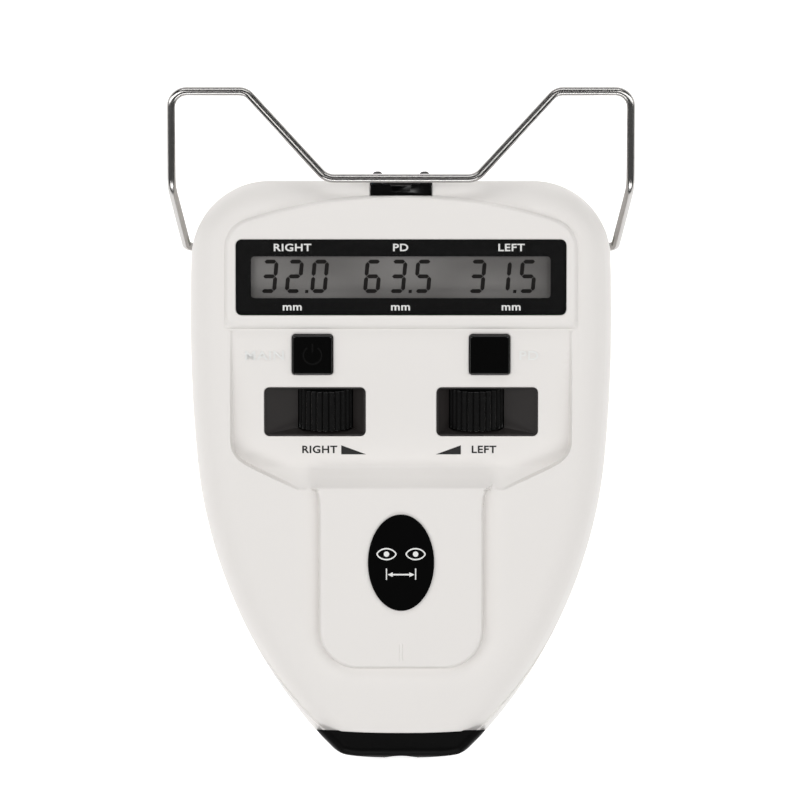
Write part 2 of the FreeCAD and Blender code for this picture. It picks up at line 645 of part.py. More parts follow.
def thumbwheel(side, sign):
    """Ribbed thumbwheel with a hub towards the pinion, on a fixed steel axle."""
    near = "%d * wheel_x" % sign
    count = int(size_of("rib_count"))
    start = "-wheel_width / 2"
    core = rod(side + "_wheel_core", (near, start, "-wheel_depth"), "wheel_radius - 0.9", "wheel_width", "y")
    soft = rounded(side + "_wheel_core_round", core, "0.6", lambda e: e.Length > 20)
    ribs = []
    for i in range(count):
        angle = 2 * math.pi * i / count
        rise = "(wheel_radius - 1.1)"
        spot = ("%s + %s * %.6f" % (near, rise, math.cos(angle)), "%s + 0.4" % start,
                "-wheel_depth + %s * %.6f" % (rise, math.sin(angle)))
        ribs.append(rod("%s_rib_%d" % (side, i), spot, "1.1 * 0.999", "wheel_width - 0.8", "y"))
    hub = rod(side + "_wheel_hub", (near, "0", "-wheel_depth"), "hub_radius", "pinion_v + pinion_width", "y")
    bore = rod(side + "_wheel_bore", (near, "-15", "-wheel_depth"), "axle_radius + running_gap", "40", "y")
    whole = fuse(side + "_wheel_whole", soft, hub, *ribs)
    node(on_panel(cut(side + "_wheel_solid", whole, bore)), side + "_thumbwheel")
    start = (near, "-well_width / 2 + 0.1", "-wheel_depth")
    node(on_panel(rod(side + "_axle_solid", start, "axle_radius", "24.6", "y")), side + "_wheel_axle")


def tooth_wedge(name, base, tip, foot, crest, start, length):
    """One straight-sided tooth along the axle, base and tip widths at heights foot and crest."""
    profile = [(-base / 2, foot, 0), (base / 2, foot, 0), (tip / 2, crest, 0), (-tip / 2, crest, 0)]
    side_view = sketch(name + "_profile", corner_path(profile), "XZ")
    return extruded(name, side_view, "-(%s) - (%s)" % (start, length), length)


def pinion(side, sign):
    """Small pinion on the thumbwheel's hub, a tooth pointing down at rest."""
    near = "%d * wheel_x" % sign
    teeth = int(size_of("gear_teeth"))
    module = size_of("gear_module")
    pitch = module * teeth / 2
    disc = rod(side + "_pinion_disc", ("0", "pinion_v", "0"), pitch - 1.0, "pinion_width", "y")
    solids = [disc]
    for i in range(teeth):
        wedge = tooth_wedge("%s_tooth_%d" % (side, i), 1.3, 0.5, pitch - 1.3, pitch + module * 0.9,
                            "pinion_v", "pinion_width")
        wedge.Placement = Placement(Vector(), Rotation(Vector(0, 1, 0), 180 + 360 * i / teeth))
        solids.append(wedge)
    whole = cut(side + "_pinion_blank", fuse(side + "_pinion_whole", *solids),
                rod(side + "_pinion_bore", ("0", "0", "0"), "hub_radius", "20", "y"))
    place(whole, (near, "0", "-wheel_depth"))
    node(on_panel(whole), side + "_pinion")


def rack(side, sign):
    """Rack under the pinion, gaps centred on the pinion's lowest tooth."""
    near = size_of("%d * wheel_x" % sign)
    module = size_of("gear_module")
    pitch = math.pi * module
    line = -size_of("wheel_depth") - module * size_of("gear_teeth") / 2
    start = size_of("pinion_v") + 0.3
    width = size_of("pinion_width") - 0.6
    count = 6
    half = (count + 0.5) * pitch
    bar = box(side + "_rack_bar", (near - half, start, line - 4.2),
              (near + half, start + width, line - module - 0.25))
    solids = [bar]
    for i in range(-count, count):
        wedge = tooth_wedge("%s_rack_tooth_%d" % (side, i), 1.3, 0.5, line - module - 0.4, line + module * 0.9,
                            str(start), str(width))
        wedge.Placement = Placement(Vector(near + (i + 0.5) * pitch, 0, 0), Rotation())
        solids.append(wedge)
    return on_panel(fuse(side + "_rack", *solids))


def carriage(side, sign):
    """Sliding carriage: rack, plate, two rod blocks, a wiper post, and a holder with the hairline."""
    x = "carriage_x_%s" % side

    def slab(tag, low, high):
        ends = [("%s + %s" % (x, corner[0]),) + corner[1:] for corner in (low, high)]
        return box("%s_carriage_%s" % (side, tag), *ends)
    plate = slab("plate", (-6, 27, 26.6), (6, 87, 28.6))
    riser = slab("riser", (-6, 26.4, 26.6), (6, 30, 30.6))
    blocks = [slab("block_" + row, (-6, y + " - 4", 28), (6, y + " + 4", 35)) for row, y in ROD_ROWS]
    wiper = slab("wiper", (-2, 54, 28), (2, 58, 36))
    holder = slab("holder", (-6, 85, 11), (6, 87, 28))
    aperture = rod(side + "_aperture", (x, "80", "optical_z"), "5", "12", "y")
    bores = [rod("%s_rod_bore_%s" % (side, row), ("-80", y, "rod_z"), "rod_radius + running_gap", "160", "x")
             for row, y in ROD_ROWS]
    whole = fuse(side + "_carriage_whole", plate, riser, *blocks, wiper, holder, rack(side, sign))
    node(cut(side + "_carriage_solid", whole, aperture, *bores), side + "_carriage")
    hair = box(side + "_hair", ("%s - 0.2" % x, "87", "optical_z - 6"), ("%s + 0.2" % x, "87.4", "optical_z + 6"))
    node(hair, side + "_hairline")
    low, high = (-56, -10) if sign < 0 else (10, 56)
    sensor = box(side + "_sensor_solid", (low, 52, 36.4), (high, 60, 41))
    node(sensor, side + "_position_sensor")


# ---------------------------------------------------------------- optics

def optics():
    """Chassis with rod holders, guide rods, objective lens and its holder, and target lamp board."""
    floor = box("chassis_floor", (-58, -27, 8.6), (58, 60, 10.6))
    legs = [box("chassis_leg_%s_%d" % (row, i), (56 * i - 2, y + " - 6", 2.4), (56 * i + 2, y + " + 6", 36))
            for i in (-1, 1) for row, y in ROD_ROWS]
    feet = [box("chassis_foot_%d" % i, (56 * i - 3, -27, 2.4), (56 * i + 3, -19, 9)) for i in (-1, 1)]
    rails = [box("chassis_rail_%d" % i, (56 * i - 2, 50, 8.6), (56 * i + 2, 70, 10.6)) for i in (-1, 1)]
    path = box("chassis_path", (24, -16, 8), (36, 16, 11))
    bores = [rod("holder_bore_" + row, ("-80", y, "rod_z"), "rod_radius", "160", "x") for row, y in ROD_ROWS]
    whole = fuse("chassis_whole", floor, *legs, *feet, *rails)
    node(cut("chassis_solid", whole, path, *bores), "optical_chassis")
    rods = [rod("guide_rod_" + row, ("-60", y, "rod_z"), "rod_radius", "120", "x") for row, y in ROD_ROWS]
    node(group("guide_rod_pair", *rods), "guide_rods")
    disc = common("objective_core", rod("objective_rim", ("0", "-26", "optical_z"), "9", "6", "y"),
                  ball("objective_ball", ("0", "-53", "optical_z"), "31.5"))
    node(disc, "objective_lens")
    holder = cut("holder_solid", box("holder_block", (-12, -25, 10.6), (12, -21, 33)),
                 rod("holder_hole", ("0", "-40", "optical_z"), "9.05", "30", "y"))
    node(holder, "lens_holder")
    board = box("lamp_plate", (-10, -100, 4), (10, -98.4, 9))
    node(fuse("lamp_solid", board, rod("lamp_body", ("0", "-98.4", "6.5"), "1.5", "4", "y")), "target_lamp")


def front_end():
    """Black front plate with two round windows."""
    plate = box("front_block", (-46, "front_y - 1.2", 9), (46, "front_y - 0.1", 40))
    holes = [rod("front_hole_" + side, ("%d * eye_x" % sign, "90", "optical_z + 3"), "eye_radius", "20", "y")
             for side, sign in SIDES]
    slot = box("front_slot", ("-nose_half - 0.01", "90", "nose_floor"), ("nose_half + 0.01", "110", "60"))
    node(cut("front_solid", plate, slot, *holes), "front_plate")
    for side, sign in SIDES:
        pane = rod(side + "_window_solid", ("%d * eye_x" % sign, "front_y - 2.4", "optical_z + 3"),
                   "eye_radius - 0.02", "2", "y")
        node(pane, side + "_window")


def nose_rest():
    """Black bracket in the nose notch, with a soft pad on a pin each side."""
    block = box("bracket_block", ("-nose_half + 0.4", "nose_back + 0.2", "nose_floor + 0.3"),
                ("nose_half - 0.4", "98.6", "61"))
    notch = [(-3.4, 95.6, 0), (3.4, 95.6, 0), (4.2, 99, 0), (-4.2, 99, 0)]
    plan = sketch("bracket_channel_plan", corner_path(notch))
    channel = extruded("bracket_channel", plan, "nose_floor + 3", "60")
    ears = []
    pins = []
    holes = []
    for side, sign in SIDES:
        x = "%d * pad_x" % sign
        for z in (29.6, 54.2):
            ears.append(box("ear_%s_%d" % (side, z), (x + " - 1.4", 98, z), (x + " + 1.4", 101.2, z + 2)))
        pins.append(rod("pad_pin_" + side, (x, "pad_y", 29.6), "0.7", "26.6"))
        holes.append(rod("pad_pin_hole_" + side, (x, "pad_y", 20), "0.7", "40"))
        pad = box("pad_block_" + side, (x + " - 2", "pad_y - 0.95", 31.8), (x + " + 2", "pad_y + 3.5", 54))
        soft = rounded("pad_soft_" + side, pad, "1.6", lambda e: upright(e) and e.BoundBox.YMin > 101)
        bore = rod("pad_bore_" + side, (x, "pad_y", 20), "0.75", "50")
        node(cut("pad_solid_" + side, soft, bore), side + "_nose_pad")
    top = rounded("bracket_round", block, "0.8", lambda e: upright(e) and e.BoundBox.YMin > 98)
    node(cut("bracket_solid", fuse("bracket_whole", top, *ears), channel, *holes), "nose_rest_bracket")
    node(group("pad_pin_pair", *pins), "nose_pad_pins")


# ---------------------------------------------------------------- forehead rest

def bent_wire(points, radii):
    """Path of straight runs joined by tangent arcs."""
    edges = []
    last = points[0]
    for i in range(1, len(points) - 1):
        back = (points[i - 1] - points[i]).normalize()
        ahead = (points[i + 1] - points[i]).normalize()
        half = back.getAngle(ahead) / 2
        setback = radii[i - 1] / math.tan(half)
        start, end = points[i] + back * setback, points[i] + ahead * setback
        middle = points[i] + (back + ahead).normalize() * (radii[i - 1] / math.sin(half) - radii[i - 1])
        edges.append(Part.LineSegment(last, start).toShape())
        edges.append(Part.Arc(start, middle, end).toShape())
        last = end
    edges.append(Part.LineSegment(last, points[-1]).toShape())
    return Part.Wire(edges)


def forehead_rest():
    """One bent steel wire: an M in front of the rim, with an arm down to a pivot each side."""
    y, z = size_of("pivot_y"), size_of("pivot_z")
    top = 68
    half = [Vector(70, y, z), Vector(82.6, y, z), Vector(88, 97.7, 58), Vector(88, 133.9, top),
            Vector(59.4, 133.9, top), Vector(28.7, 100.6, top)]
    points = half + [Vector(-p.x, p.y, p.z) for p in reversed(half)]
    radii = [2.4, 12, 6, 6, 7]
    path = bent_wire(points, radii + radii[::-1])
    ring = Part.Wire(Part.Circle(points[0], Vector(1, 0, 0), size_of("wire_radius")).toShape())
    wire = doc.addObject("Part::Feature", "forehead_wire")
    wire.Shape = path.makePipeShell([ring], True, False)
    node(wire, "forehead_rest")
    for side, sign in SIDES:
        low = "pocket_floor - 5.2" if sign > 0 else "-pocket_floor"
        outside = rod(side + "_bush_out", (low, "pivot_y", "pivot_z"), "bush_radius", "5.2", "x")
        start = ("%d * 80 - 20" % sign, "pivot_y", "pivot_z")
        inside = rod(side + "_bush_in", start, "wire_radius + running_gap", "40", "x")
        node(cut(side + "_bush_solid", outside, inside), side + "_pivot_bush")


# ---------------------------------------------------------------- battery and underside sliders

def battery():
    """Two cells between spring contacts, and a door flush with the underside."""
    cells = []
    for i, cap_x in ((-1, -26), (1, 24.5)):
        y = "battery_y + %g" % (7.8 * i)
        jacket = rod("cell_%d" % i, ("-25", y, "10.6"), "7.2", "49.5", "x")
        cap = rod("cell_cap_%d" % i, (cap_x, y, "10.6"), "2.7", "1.5", "x")
        cells.append(fuse("cell_whole_%d" % i, jacket, cap))
    node(group("cell_pair", *cells), "battery_cells")
    plates = [box("contact_%d" % i, (x - 0.3, "battery_y - 14", "4"), (x + 0.3, "battery_y + 14", "17"))
              for i, x in ((-1, -27.2), (1, 27.2))]
    node(group("contact_pair", *plates), "battery_contacts")
    door = box("door_plate", ("-battery_half_x + 0.3", "battery_y - battery_half_y + 0.3", "0.4"),
               ("battery_half_x - 0.3", "battery_y + battery_half_y - 0.3", "2.4"))
    grips = [box("door_grip_%d" % i, (-8, "battery_y + %g" % y, "0"), (8, "battery_y + %g" % (y + 0.8), "0.9"))
             for i, y in enumerate((9, 10.8, 12.6, 14.4))]
    node(cut("door_solid", rounded("door_round", door, "1.5", upright), *grips), "battery_door")


def sliders():
    """Distance slider with its target carriage, and the occluder slider with its shutter."""
    knob = box("distance_grip", (25, -5, 0.6), (35, 5, 4.6))
    ribs = [box("distance_rib_%d" % i, (25, -4.4 + 1.6 * i, 0), (35, -3.6 + 1.6 * i, 1.2)) for i in range(6)]
    stem = box("distance_stem", (28.4, -2, 4), (31.6, 2, 11.2))
    arm = box("distance_arm", (4, -2, 11.2), (31.6, 2, 12.6))
    flag = cut("distance_flag", box("target_plate", (-9, -2, 11.2), (9, 0, 30)),
               rod("target_hole", ("0", "-10", "optical_z"), "6", "20", "y"))
    node(cut("distance_solid", fuse("distance_whole", knob, stem), *ribs), "distance_slider")
    node(fuse("target_solid", arm, flag), "target_carriage")
    grip = box("shutter_grip", (-5, 66, 0.6), (5, 76, 4.6))
    lines = [box("shutter_rib_%d" % i, (-4.4 + 1.6 * i, 66, 0), (-3.6 + 1.6 * i, 76, 1.2)) for i in range(6)]
    post = box("shutter_post", (-2, 69.4, 4), (2, 72.6, 8))
    blade = box("shutter_blade", (-10.5, 89.2, 8), (10.5, 90.6, 34.5))
    node(cut("shutter_slider_solid", fuse("shutter_slider_whole", grip, post), *lines), "occluder_slider")
    node(fuse("shutter_solid", box("shutter_link", (-2, 69.4, 8), (2, 90.6, 9.6)), blade), "occluder_blade")


def write_all():
    """Check every object, then write each sub-part to its own file."""
    doc.recompute()
    failed = [o.Name for o in doc.Objects if "Invalid" in o.State or "Error" in o.State]
    if failed:
        raise RuntimeError("failed objects: %s" % failed)
    os.makedirs("parts", exist_ok=True)
    for obj in NODES:
        shape = obj.Shape
        if shape.isNull() or not shape.isValid() or not shape.Solids:
            raise RuntimeError("bad shape: %s" % obj.Label)
        shape.exportStep("parts/%s.step" % obj.Label)
        print("%-22s solids %d volume %.1f" % (obj.Label, len(shape.Solids), shape.Volume))


shells()
case_screws()
end_cap()
display()
badge()
buttons()
for wheel_side, wheel_sign in SIDES:
    trough(wheel_side, wheel_sign)
    thumbwheel(wheel_side, wheel_sign)
    pinion(wheel_side, wheel_sign)
    carriage(wheel_side, wheel_sign)
optics()
front_end()
nose_rest()
forehead_rest()
battery()
sliders()
write_all()
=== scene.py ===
import math

import bmesh
import bpy
import numpy as np
from bpy.props import FloatProperty, FloatVectorProperty, IntProperty, PointerProperty
from mathutils import Matrix, Vector
from mathutils.geometry import delaunay_2d_cdt


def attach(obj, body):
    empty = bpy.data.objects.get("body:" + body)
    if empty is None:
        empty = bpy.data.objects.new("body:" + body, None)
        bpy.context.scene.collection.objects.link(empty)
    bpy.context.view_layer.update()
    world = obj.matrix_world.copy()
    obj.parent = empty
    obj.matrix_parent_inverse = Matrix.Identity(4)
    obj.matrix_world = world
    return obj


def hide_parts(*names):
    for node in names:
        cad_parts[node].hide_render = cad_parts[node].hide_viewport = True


bl_info = {
    "name": "Pupillary distance meter",
    "version": (1, 0, 0),
    "blender": (4, 5, 0),
    "location": "View3D > Sidebar > PD Meter",
    "description": "Builds the visible pieces of a hand-held pupillary distance meter round its CAD frame",
    "category": "Object",
}

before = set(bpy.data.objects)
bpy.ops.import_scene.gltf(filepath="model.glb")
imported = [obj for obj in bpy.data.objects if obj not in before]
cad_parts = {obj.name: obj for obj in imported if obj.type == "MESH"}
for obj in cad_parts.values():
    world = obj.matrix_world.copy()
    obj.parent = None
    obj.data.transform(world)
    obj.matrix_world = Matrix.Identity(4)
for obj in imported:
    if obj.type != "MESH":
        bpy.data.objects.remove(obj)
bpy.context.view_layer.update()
MM = 0.001

# Driving sizes, in millimetres, and two slopes in radians.
DECK_HEIGHT, DECK_SLOPE = 50.1, 0.158
SHOULDER_DROP = 1.75
PARTING = 26.0
WALL = 2.4
RIM = 13.0
FRONT_Y = 100.0
SHELL_END = -111.6
END_BULGE = 1.1
PANEL_Y, PANEL_Z = 11.3, 46.4
PANEL_TILT = math.radians(14)
DECK_TILT = math.atan(DECK_SLOPE)
RISE_FOOT, RISE_END = -10.1, -18.6
VALLEY_WIDTH = 4.6
CUT_ROUND, END_ROUND = 0.45, 0.7
WINDOW_Y = 62.8
WINDOW_SIZE = (126.5, 29.1)
PANE_TOP, PANE_UNDER, PRINT_UNDER = -0.02, -1.35, -1.5
CELL_TOP, CELL_UNDER = -4.6, -7.4
VIEW_SIZE, CELL_SIZE = (114.8, 16.2), (117, 23)
INK = 0.06
BADGE_Y, BADGE_FACE, BADGE_HALF = -46.7, 0.8, (12.75, 18.8)
KEY_X, KEY_V, KEY_SIZE = 34.0, 22.67, (15.2, 15.5)
WELL_X, WELL_SIZE = 33.1, (39.0, 19.3)
WHEEL_X, WHEEL_RADIUS, WHEEL_DEPTH, WHEEL_WIDTH = 29.0, 11.75, 11.25, 16.3
PIVOT_Y, PIVOT_Z = 75.0, 28.0
HOOD_FOOT, FOOT_ROUND = 43.1, 2.8
POCKET_RADIUS, POCKET_X = 18.0, 76.6
BOSS_X, BOSS_REACH, BUSH_RADIUS = 72.5, 20.5, 3.5
PLATE_X, PLATE_LOW, PLATE_HIGH, PLATE_DEPTH = 46.2, 8.0, 40.2, 1.3
EYE_X, EYE_Z, EYE_RADIUS = 32.0, 24.0, 11.0
NOTCH_X, NOTCH_Y, NOTCH_WALL = 12.0, 94.0, 2.4
SIDES = (("right", -1), ("left", 1))


# ------------------------------------------------------------------ settings

class HousingSettings(bpy.types.PropertyGroup):
    """Sizes and colours of the white shells."""
    hood_edge: FloatProperty(name="Hood edge", description="Round of the display hood's edge, in millimetres",
                             default=1.7, min=0.3, max=4)
    valley: FloatProperty(name="Valley", description="Dip of the shoulders beside the tongue, in millimetres",
                          default=2.1, min=0, max=4)
    white: FloatVectorProperty(name="Shell colour", description="Colour of the white moulded shells",
                               subtype="COLOR", default=(0.80, 0.775, 0.75), min=0, max=1)


class WheelSettings(bpy.types.PropertyGroup):
    """Ribs of the thumbwheels."""
    ribs: IntProperty(name="Ribs", description="Ribs round each thumbwheel", default=28, min=8, max=60)
    rib_radius: FloatProperty(name="Rib radius", description="Round of one rib, in millimetres",
                              default=1.4, min=0.3, max=2)


class StageSettings(bpy.types.PropertyGroup):
    """Camera and light."""
    lens: FloatProperty(name="Lens", description="Focal length of the camera", default=500, unit="CAMERA")
    span: FloatProperty(name="Span", description="Width of the picture at the display's height",
                        default=0.3072, subtype="DISTANCE")
    sky: FloatProperty(name="Sky", description="Strength of the surrounding light",
                       default=0.04, min=0, max=3)


# ------------------------------------------------------------------ small helpers

def srgb(text):
    """Linear colour of an sRGB hex value."""
    channels = [int(text[i:i + 2], 16) / 255 for i in (0, 2, 4)]
    return [c / 12.92 if c <= 0.04045 else ((c + 0.055) / 1.055) ** 2.4 for c in channels] + [1.0]


def add_node(tree, kind, settings=None, links=None):
    """Add one node, with its values by socket name and its links as socket: (node, output)."""
    node = tree.nodes.new(kind)
    for name, value in (settings or {}).items():
        if isinstance(name, int) or name in node.inputs:
            node.inputs[name].default_value = value
        else:
            setattr(node, name, value)
    for name, (source, output) in (links or {}).items():
        tree.links.new(source.outputs[output], node.inputs[name])
    return node


def mesh_from(name, work):
    """A mesh from a bmesh, which is freed."""
    mesh = bpy.data.meshes.new(name)
    work.to_mesh(mesh)
    work.free()
    return mesh


def linked(name, data):
    """A new object of some data, in the scene."""
    made = bpy.data.objects.new(name, data)
    bpy.context.scene.collection.objects.link(made)
    return made


def moved_mesh(name, mesh, body, finish, smooth_angle=35.0, bevel=0.0, segments=3):
    """A piece from a finished mesh: finish, smoothing, an optional edge bevel, and the body it rides on."""
    mesh.name = name
    piece = linked(name, mesh)
    mesh.materials.clear()
    mesh.materials.append(finish_of(finish))
    for polygon in mesh.polygons:
        polygon.use_smooth = True
        polygon.material_index = 0
    mesh.set_sharp_from_angle(angle=math.radians(smooth_angle))
    if bevel > 0:
        modifier = piece.modifiers.new("edges", "BEVEL")
        modifier.width = bevel * MM
        modifier.segments = segments
        modifier.limit_method = "ANGLE"
        modifier.angle_limit = math.radians(smooth_angle)
        modifier.harden_normals = True
    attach(piece, body)
    return piece


def merged_copy(node):
    """A copy of a CAD node's mesh with its loose triangles joined and flat areas dissolved."""
    work = bmesh.new()
    work.from_mesh(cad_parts[node].data)
    bmesh.ops.remove_doubles(work, verts=work.verts, dist=2e-6)
    bmesh.ops.dissolve_degenerate(work, edges=work.edges, dist=1e-7)
    bmesh.ops.dissolve_limit(work, angle_limit=math.radians(0.6), verts=work.verts, edges=work.edges)
    return mesh_from(node + "_finished", work)


def finished_node(node, body, finish, bevel=0.25, angle=35.0):
    """A CAD node with joined faces, soft edges and its finish, in place of the plain one."""
    piece = moved_mesh(node + "_finished", merged_copy(node), body, finish, angle, bevel)
    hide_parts(node)


def dress(node, finish):
    """Give a CAD node that stays its finish."""
    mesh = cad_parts[node].data
    mesh.materials.clear()
    mesh.materials.append(finish_of(finish))


def deck_matrix():
    """From the deck's own frame at the display, in millimetres, to the part's frame in metres."""
    height = DECK_HEIGHT + DECK_SLOPE * WINDOW_Y
    place = Matrix.Translation(Vector((0, WINDOW_Y, height)) * MM)
    return place @ Matrix.Rotation(DECK_TILT, 4, "X") @ Matrix.Scale(MM, 4)


def panel_matrix():
    """From the control panel's own frame, in millimetres, to the part's frame in metres."""
    place = Matrix.Translation(Vector((0, PANEL_Y, PANEL_Z)) * MM)
    return place @ Matrix.Rotation(PANEL_TILT, 4, "X") @ Matrix.Scale(MM, 4)


def tongue_matrix(y):
    """From the deck's frame at a place on the tongue, in millimetres, to the part's frame in metres."""
    place = Matrix.Translation(Vector((0, y, DECK_HEIGHT + DECK_SLOPE * y)) * MM)
    return place @ Matrix.Rotation(DECK_TILT, 4, "X") @ Matrix.Scale(MM, 4)


def rounded_rectangle(width, height, radius, centre=(0, 0), steps=6):
    """Points of a rectangle with round corners, anticlockwise."""
    points = []
    for corner, (sx, sy) in enumerate(((1, 1), (-1, 1), (-1, -1), (1, -1))):
        cx = centre[0] + sx * (width / 2 - radius)
        cy = centre[1] + sy * (height / 2 - radius)
        for k in range(steps + 1):
            angle = math.pi / 2 * (corner + k / steps)
            points.append((cx + radius * math.cos(angle), cy + radius * math.sin(angle)))
    return points


def slab_mesh(outlines, low, high, matrix, holes=()):
    """A flat plate between two heights of its own frame: outer outlines less holes, triangulated."""
    work = bmesh.new()
    for outline in outlines:
        own = [hole for hole in holes if is_inside(outline, np.array(hole[:1], float))[0]]
        add_prism(work, outline, own, low, high)
    work.transform(matrix)
    bmesh.ops.recalc_face_normals(work, faces=work.faces)
    return mesh_from("slab", work)


def add_prism(work, outline, holes, low, high):
    """Add one prism with holes to a bmesh."""
    points = [Vector(p) for p in outline]
    edges = [(i, (i + 1) % len(points)) for i in range(len(points))]
    for hole in holes:
        start = len(points)
        points += [Vector(p) for p in hole]
        edges += [(start + i, start + (i + 1) % len(hole)) for i in range(len(hole))]
    verts, _, faces, _, _, _ = delaunay_2d_cdt(points, edges, [], 2 if holes else 1, 1e-6)
    kept = faces_within(verts, faces, outline, holes)
    close_sheet(work, [(v.x, v.y, high) for v in verts], [(v.x, v.y, low) for v in verts], kept)


def is_inside(points, xy):
    """Which of many points lie inside a closed outline."""
    hit = np.zeros(len(xy), bool)
    x, y = xy[:, 0], xy[:, 1]
    for (ax, ay), (bx, by) in zip(points, points[1:] + points[:1]):
        if ay == by:
            continue
        crosses = (ay > y) != (by > y)
        hit ^= crosses & (x < (bx - ax) * (y - ay) / (by - ay) + ax)
    return hit


def faces_within(verts, faces, outline, holes):
    """Faces of a plan triangulation whose middles lie inside an outline and outside its holes."""
    xy = np.array([(v.x, v.y) for v in verts])
    centres = np.array([xy[list(face)].mean(0) for face in faces])
    keep = is_inside(outline, centres)
    for hole in holes:
        keep &= ~is_inside(hole, centres)
    return [list(face) for face, good in zip(faces, keep) if good]


def close_sheet(work, top, bottom, faces):
    """A closed body from one triangulation at two heights, with walls on its free edges."""
    used = sorted({i for face in faces for i in face})
    upper = {i: work.verts.new(top[i]) for i in used}
    lower = {i: work.verts.new(bottom[i]) for i in used}
    count = {}
    for face in faces:
        work.faces.new([upper[i] for i in face])
        work.faces.new([lower[i] for i in reversed(face)])
        for a, b in zip(face, list(face[1:]) + [face[0]]):
            count[(a, b)] = count.get((a, b), 0) + 1
    for a, b in count:
        if (b, a) not in count:
            work.faces.new([upper[b], upper[a], lower[a], lower[b]])


# ------------------------------------------------------------------ materials

def surface(name, base, roughness, metallic=0.0, **sockets):
    """A Principled material with uniform values on its own sockets; returns (material, tree, shader)."""
    material = bpy.data.materials.new(name)
    material.use_nodes = True
    tree = material.node_tree
    shader = tree.nodes["Principled BSDF"]
    shader.inputs["Base Color"].default_value = base
    shader.inputs["Roughness"].default_value = roughness
    shader.inputs["Metallic"].default_value = metallic
    for socket, value in sockets.items():
        shader.inputs[socket.replace("_", " ")].default_value = value
    return material, tree, shader


def grain(tree, shader, size_mm, depth_mm, colours=None, rough=None):
    """Noise in object space: grain of a real size as bump, and optionally colour and roughness variation."""
    place = add_node(tree, "ShaderNodeTexCoord")
    noise = add_node(tree, "ShaderNodeTexNoise",
                     {"Scale": 1 / (size_mm * MM), "Detail": 4.0, "Roughness": 0.6},
                     {"Vector": (place, "Object")})
    bump = add_node(tree, "ShaderNodeBump", {"Distance": depth_mm * MM, "Strength": 1.0},
                    {"Height": (noise, "Fac")})
    tree.links.new(bump.outputs["Normal"], shader.inputs["Normal"])
    if colours:
        broad = add_node(tree, "ShaderNodeTexNoise", {"Scale": 1 / (35 * MM), "Detail": 3.0},
                         {"Vector": (place, "Object")})
        mix = add_node(tree, "ShaderNodeMix", {"data_type": "RGBA"}, {"Factor": (broad, "Fac")})
        mix.inputs[6].default_value = colours[0]
        mix.inputs[7].default_value = colours[1]
        tree.links.new(mix.outputs[2], shader.inputs["Base Color"])
    if rough:
        spread = add_node(tree, "ShaderNodeMapRange", {"To Min": rough[0], "To Max": rough[1]},
                          {"Value": (noise, "Fac")})
        tree.links.new(spread.outputs["Result"], shader.inputs["Roughness"])


def moulded_white_abs():
    """ABS, injection moulded in a spark-eroded tool: a fine even grain that keeps the highlights soft."""
    base = tuple(bpy.context.scene.pd_housing.white) + (1.0,)
    material, tree, shader = surface("moulded_white_abs", base, 0.5, Specular_IOR_Level=0.35)
    shade = [c * 0.985 for c in base[:3]] + [1.0]
    grain(tree, shader, 0.45, 0.012, (base, shade), rough=(0.46, 0.58))
    return material


def polished_black_abs():
    """ABS from a polished tool: deep black, sharp narrow highlights, faint orange peel."""
    material, tree, shader = surface("polished_black_abs", srgb("050505"), 0.16, Specular_IOR_Level=0.4)
    grain(tree, shader, 2.5, 0.002, rough=(0.09, 0.16))
    return material


def satin_black_abs():
    """ABS with a light texture: warm grey-black where light grazes it."""
    material, tree, shader = surface("satin_black_abs", srgb("2A2725"), 0.42, Specular_IOR_Level=0.45)
    grain(tree, shader, 0.5, 0.01, (srgb("2B2826"), srgb("24211F")), rough=(0.36, 0.5))
    return material


def wheel_black():
    """ABS of the thumbwheels: black, polished by fingers, with a bright line along every rib."""
    material, tree, shader = surface("finger_polished_black_abs", srgb("0A0A0A"), 0.2, Specular_IOR_Level=0.8)
    grain(tree, shader, 1.2, 0.002, rough=(0.15, 0.27))
    return material


def cap_black():
    """ABS of the end cap: black with a soft sheen, so its sloping edges stay dark."""
    material, tree, shader = surface("soft_sheen_black_abs", srgb("040404"), 0.4, Specular_IOR_Level=0.08)
    grain(tree, shader, 1.5, 0.002, rough=(0.34, 0.46))
    return material


def trough_black():
    """ABS of the wheel troughs: brown-black with a half gloss that catches light on the ramps."""
    material, tree, shader = surface("half_gloss_black_abs", srgb("2A2726"), 0.34)
    grain(tree, shader, 0.6, 0.004, (srgb("2D2A29"), srgb("252221")), rough=(0.3, 0.4))
    return material


def printed_black():
    """Screen-printed black behind the clear window: flat and glossy from the sheet in front of it."""
    material, tree, shader = surface("printed_black_border", srgb("0B0B0B"), 0.25, Specular_IOR_Level=0.4)
    grain(tree, shader, 0.6, 0.002)
    return material


def white_ink():
    """Screen-printed white ink: slightly uneven cover."""
    material, tree, shader = surface("screen_printed_white", srgb("E8E8E6"), 0.6)
    grain(tree, shader, 0.2, 0.004, (srgb("F0F0EE"), srgb("DCDCDA")))
    return material


def black_ink():
    """Pad-printed black ink on the textured shell."""
    material, tree, shader = surface("pad_printed_black", srgb("070707"), 0.6)
    grain(tree, shader, 0.2, 0.004, (srgb("070707"), srgb("0D0C0C")))
    return material


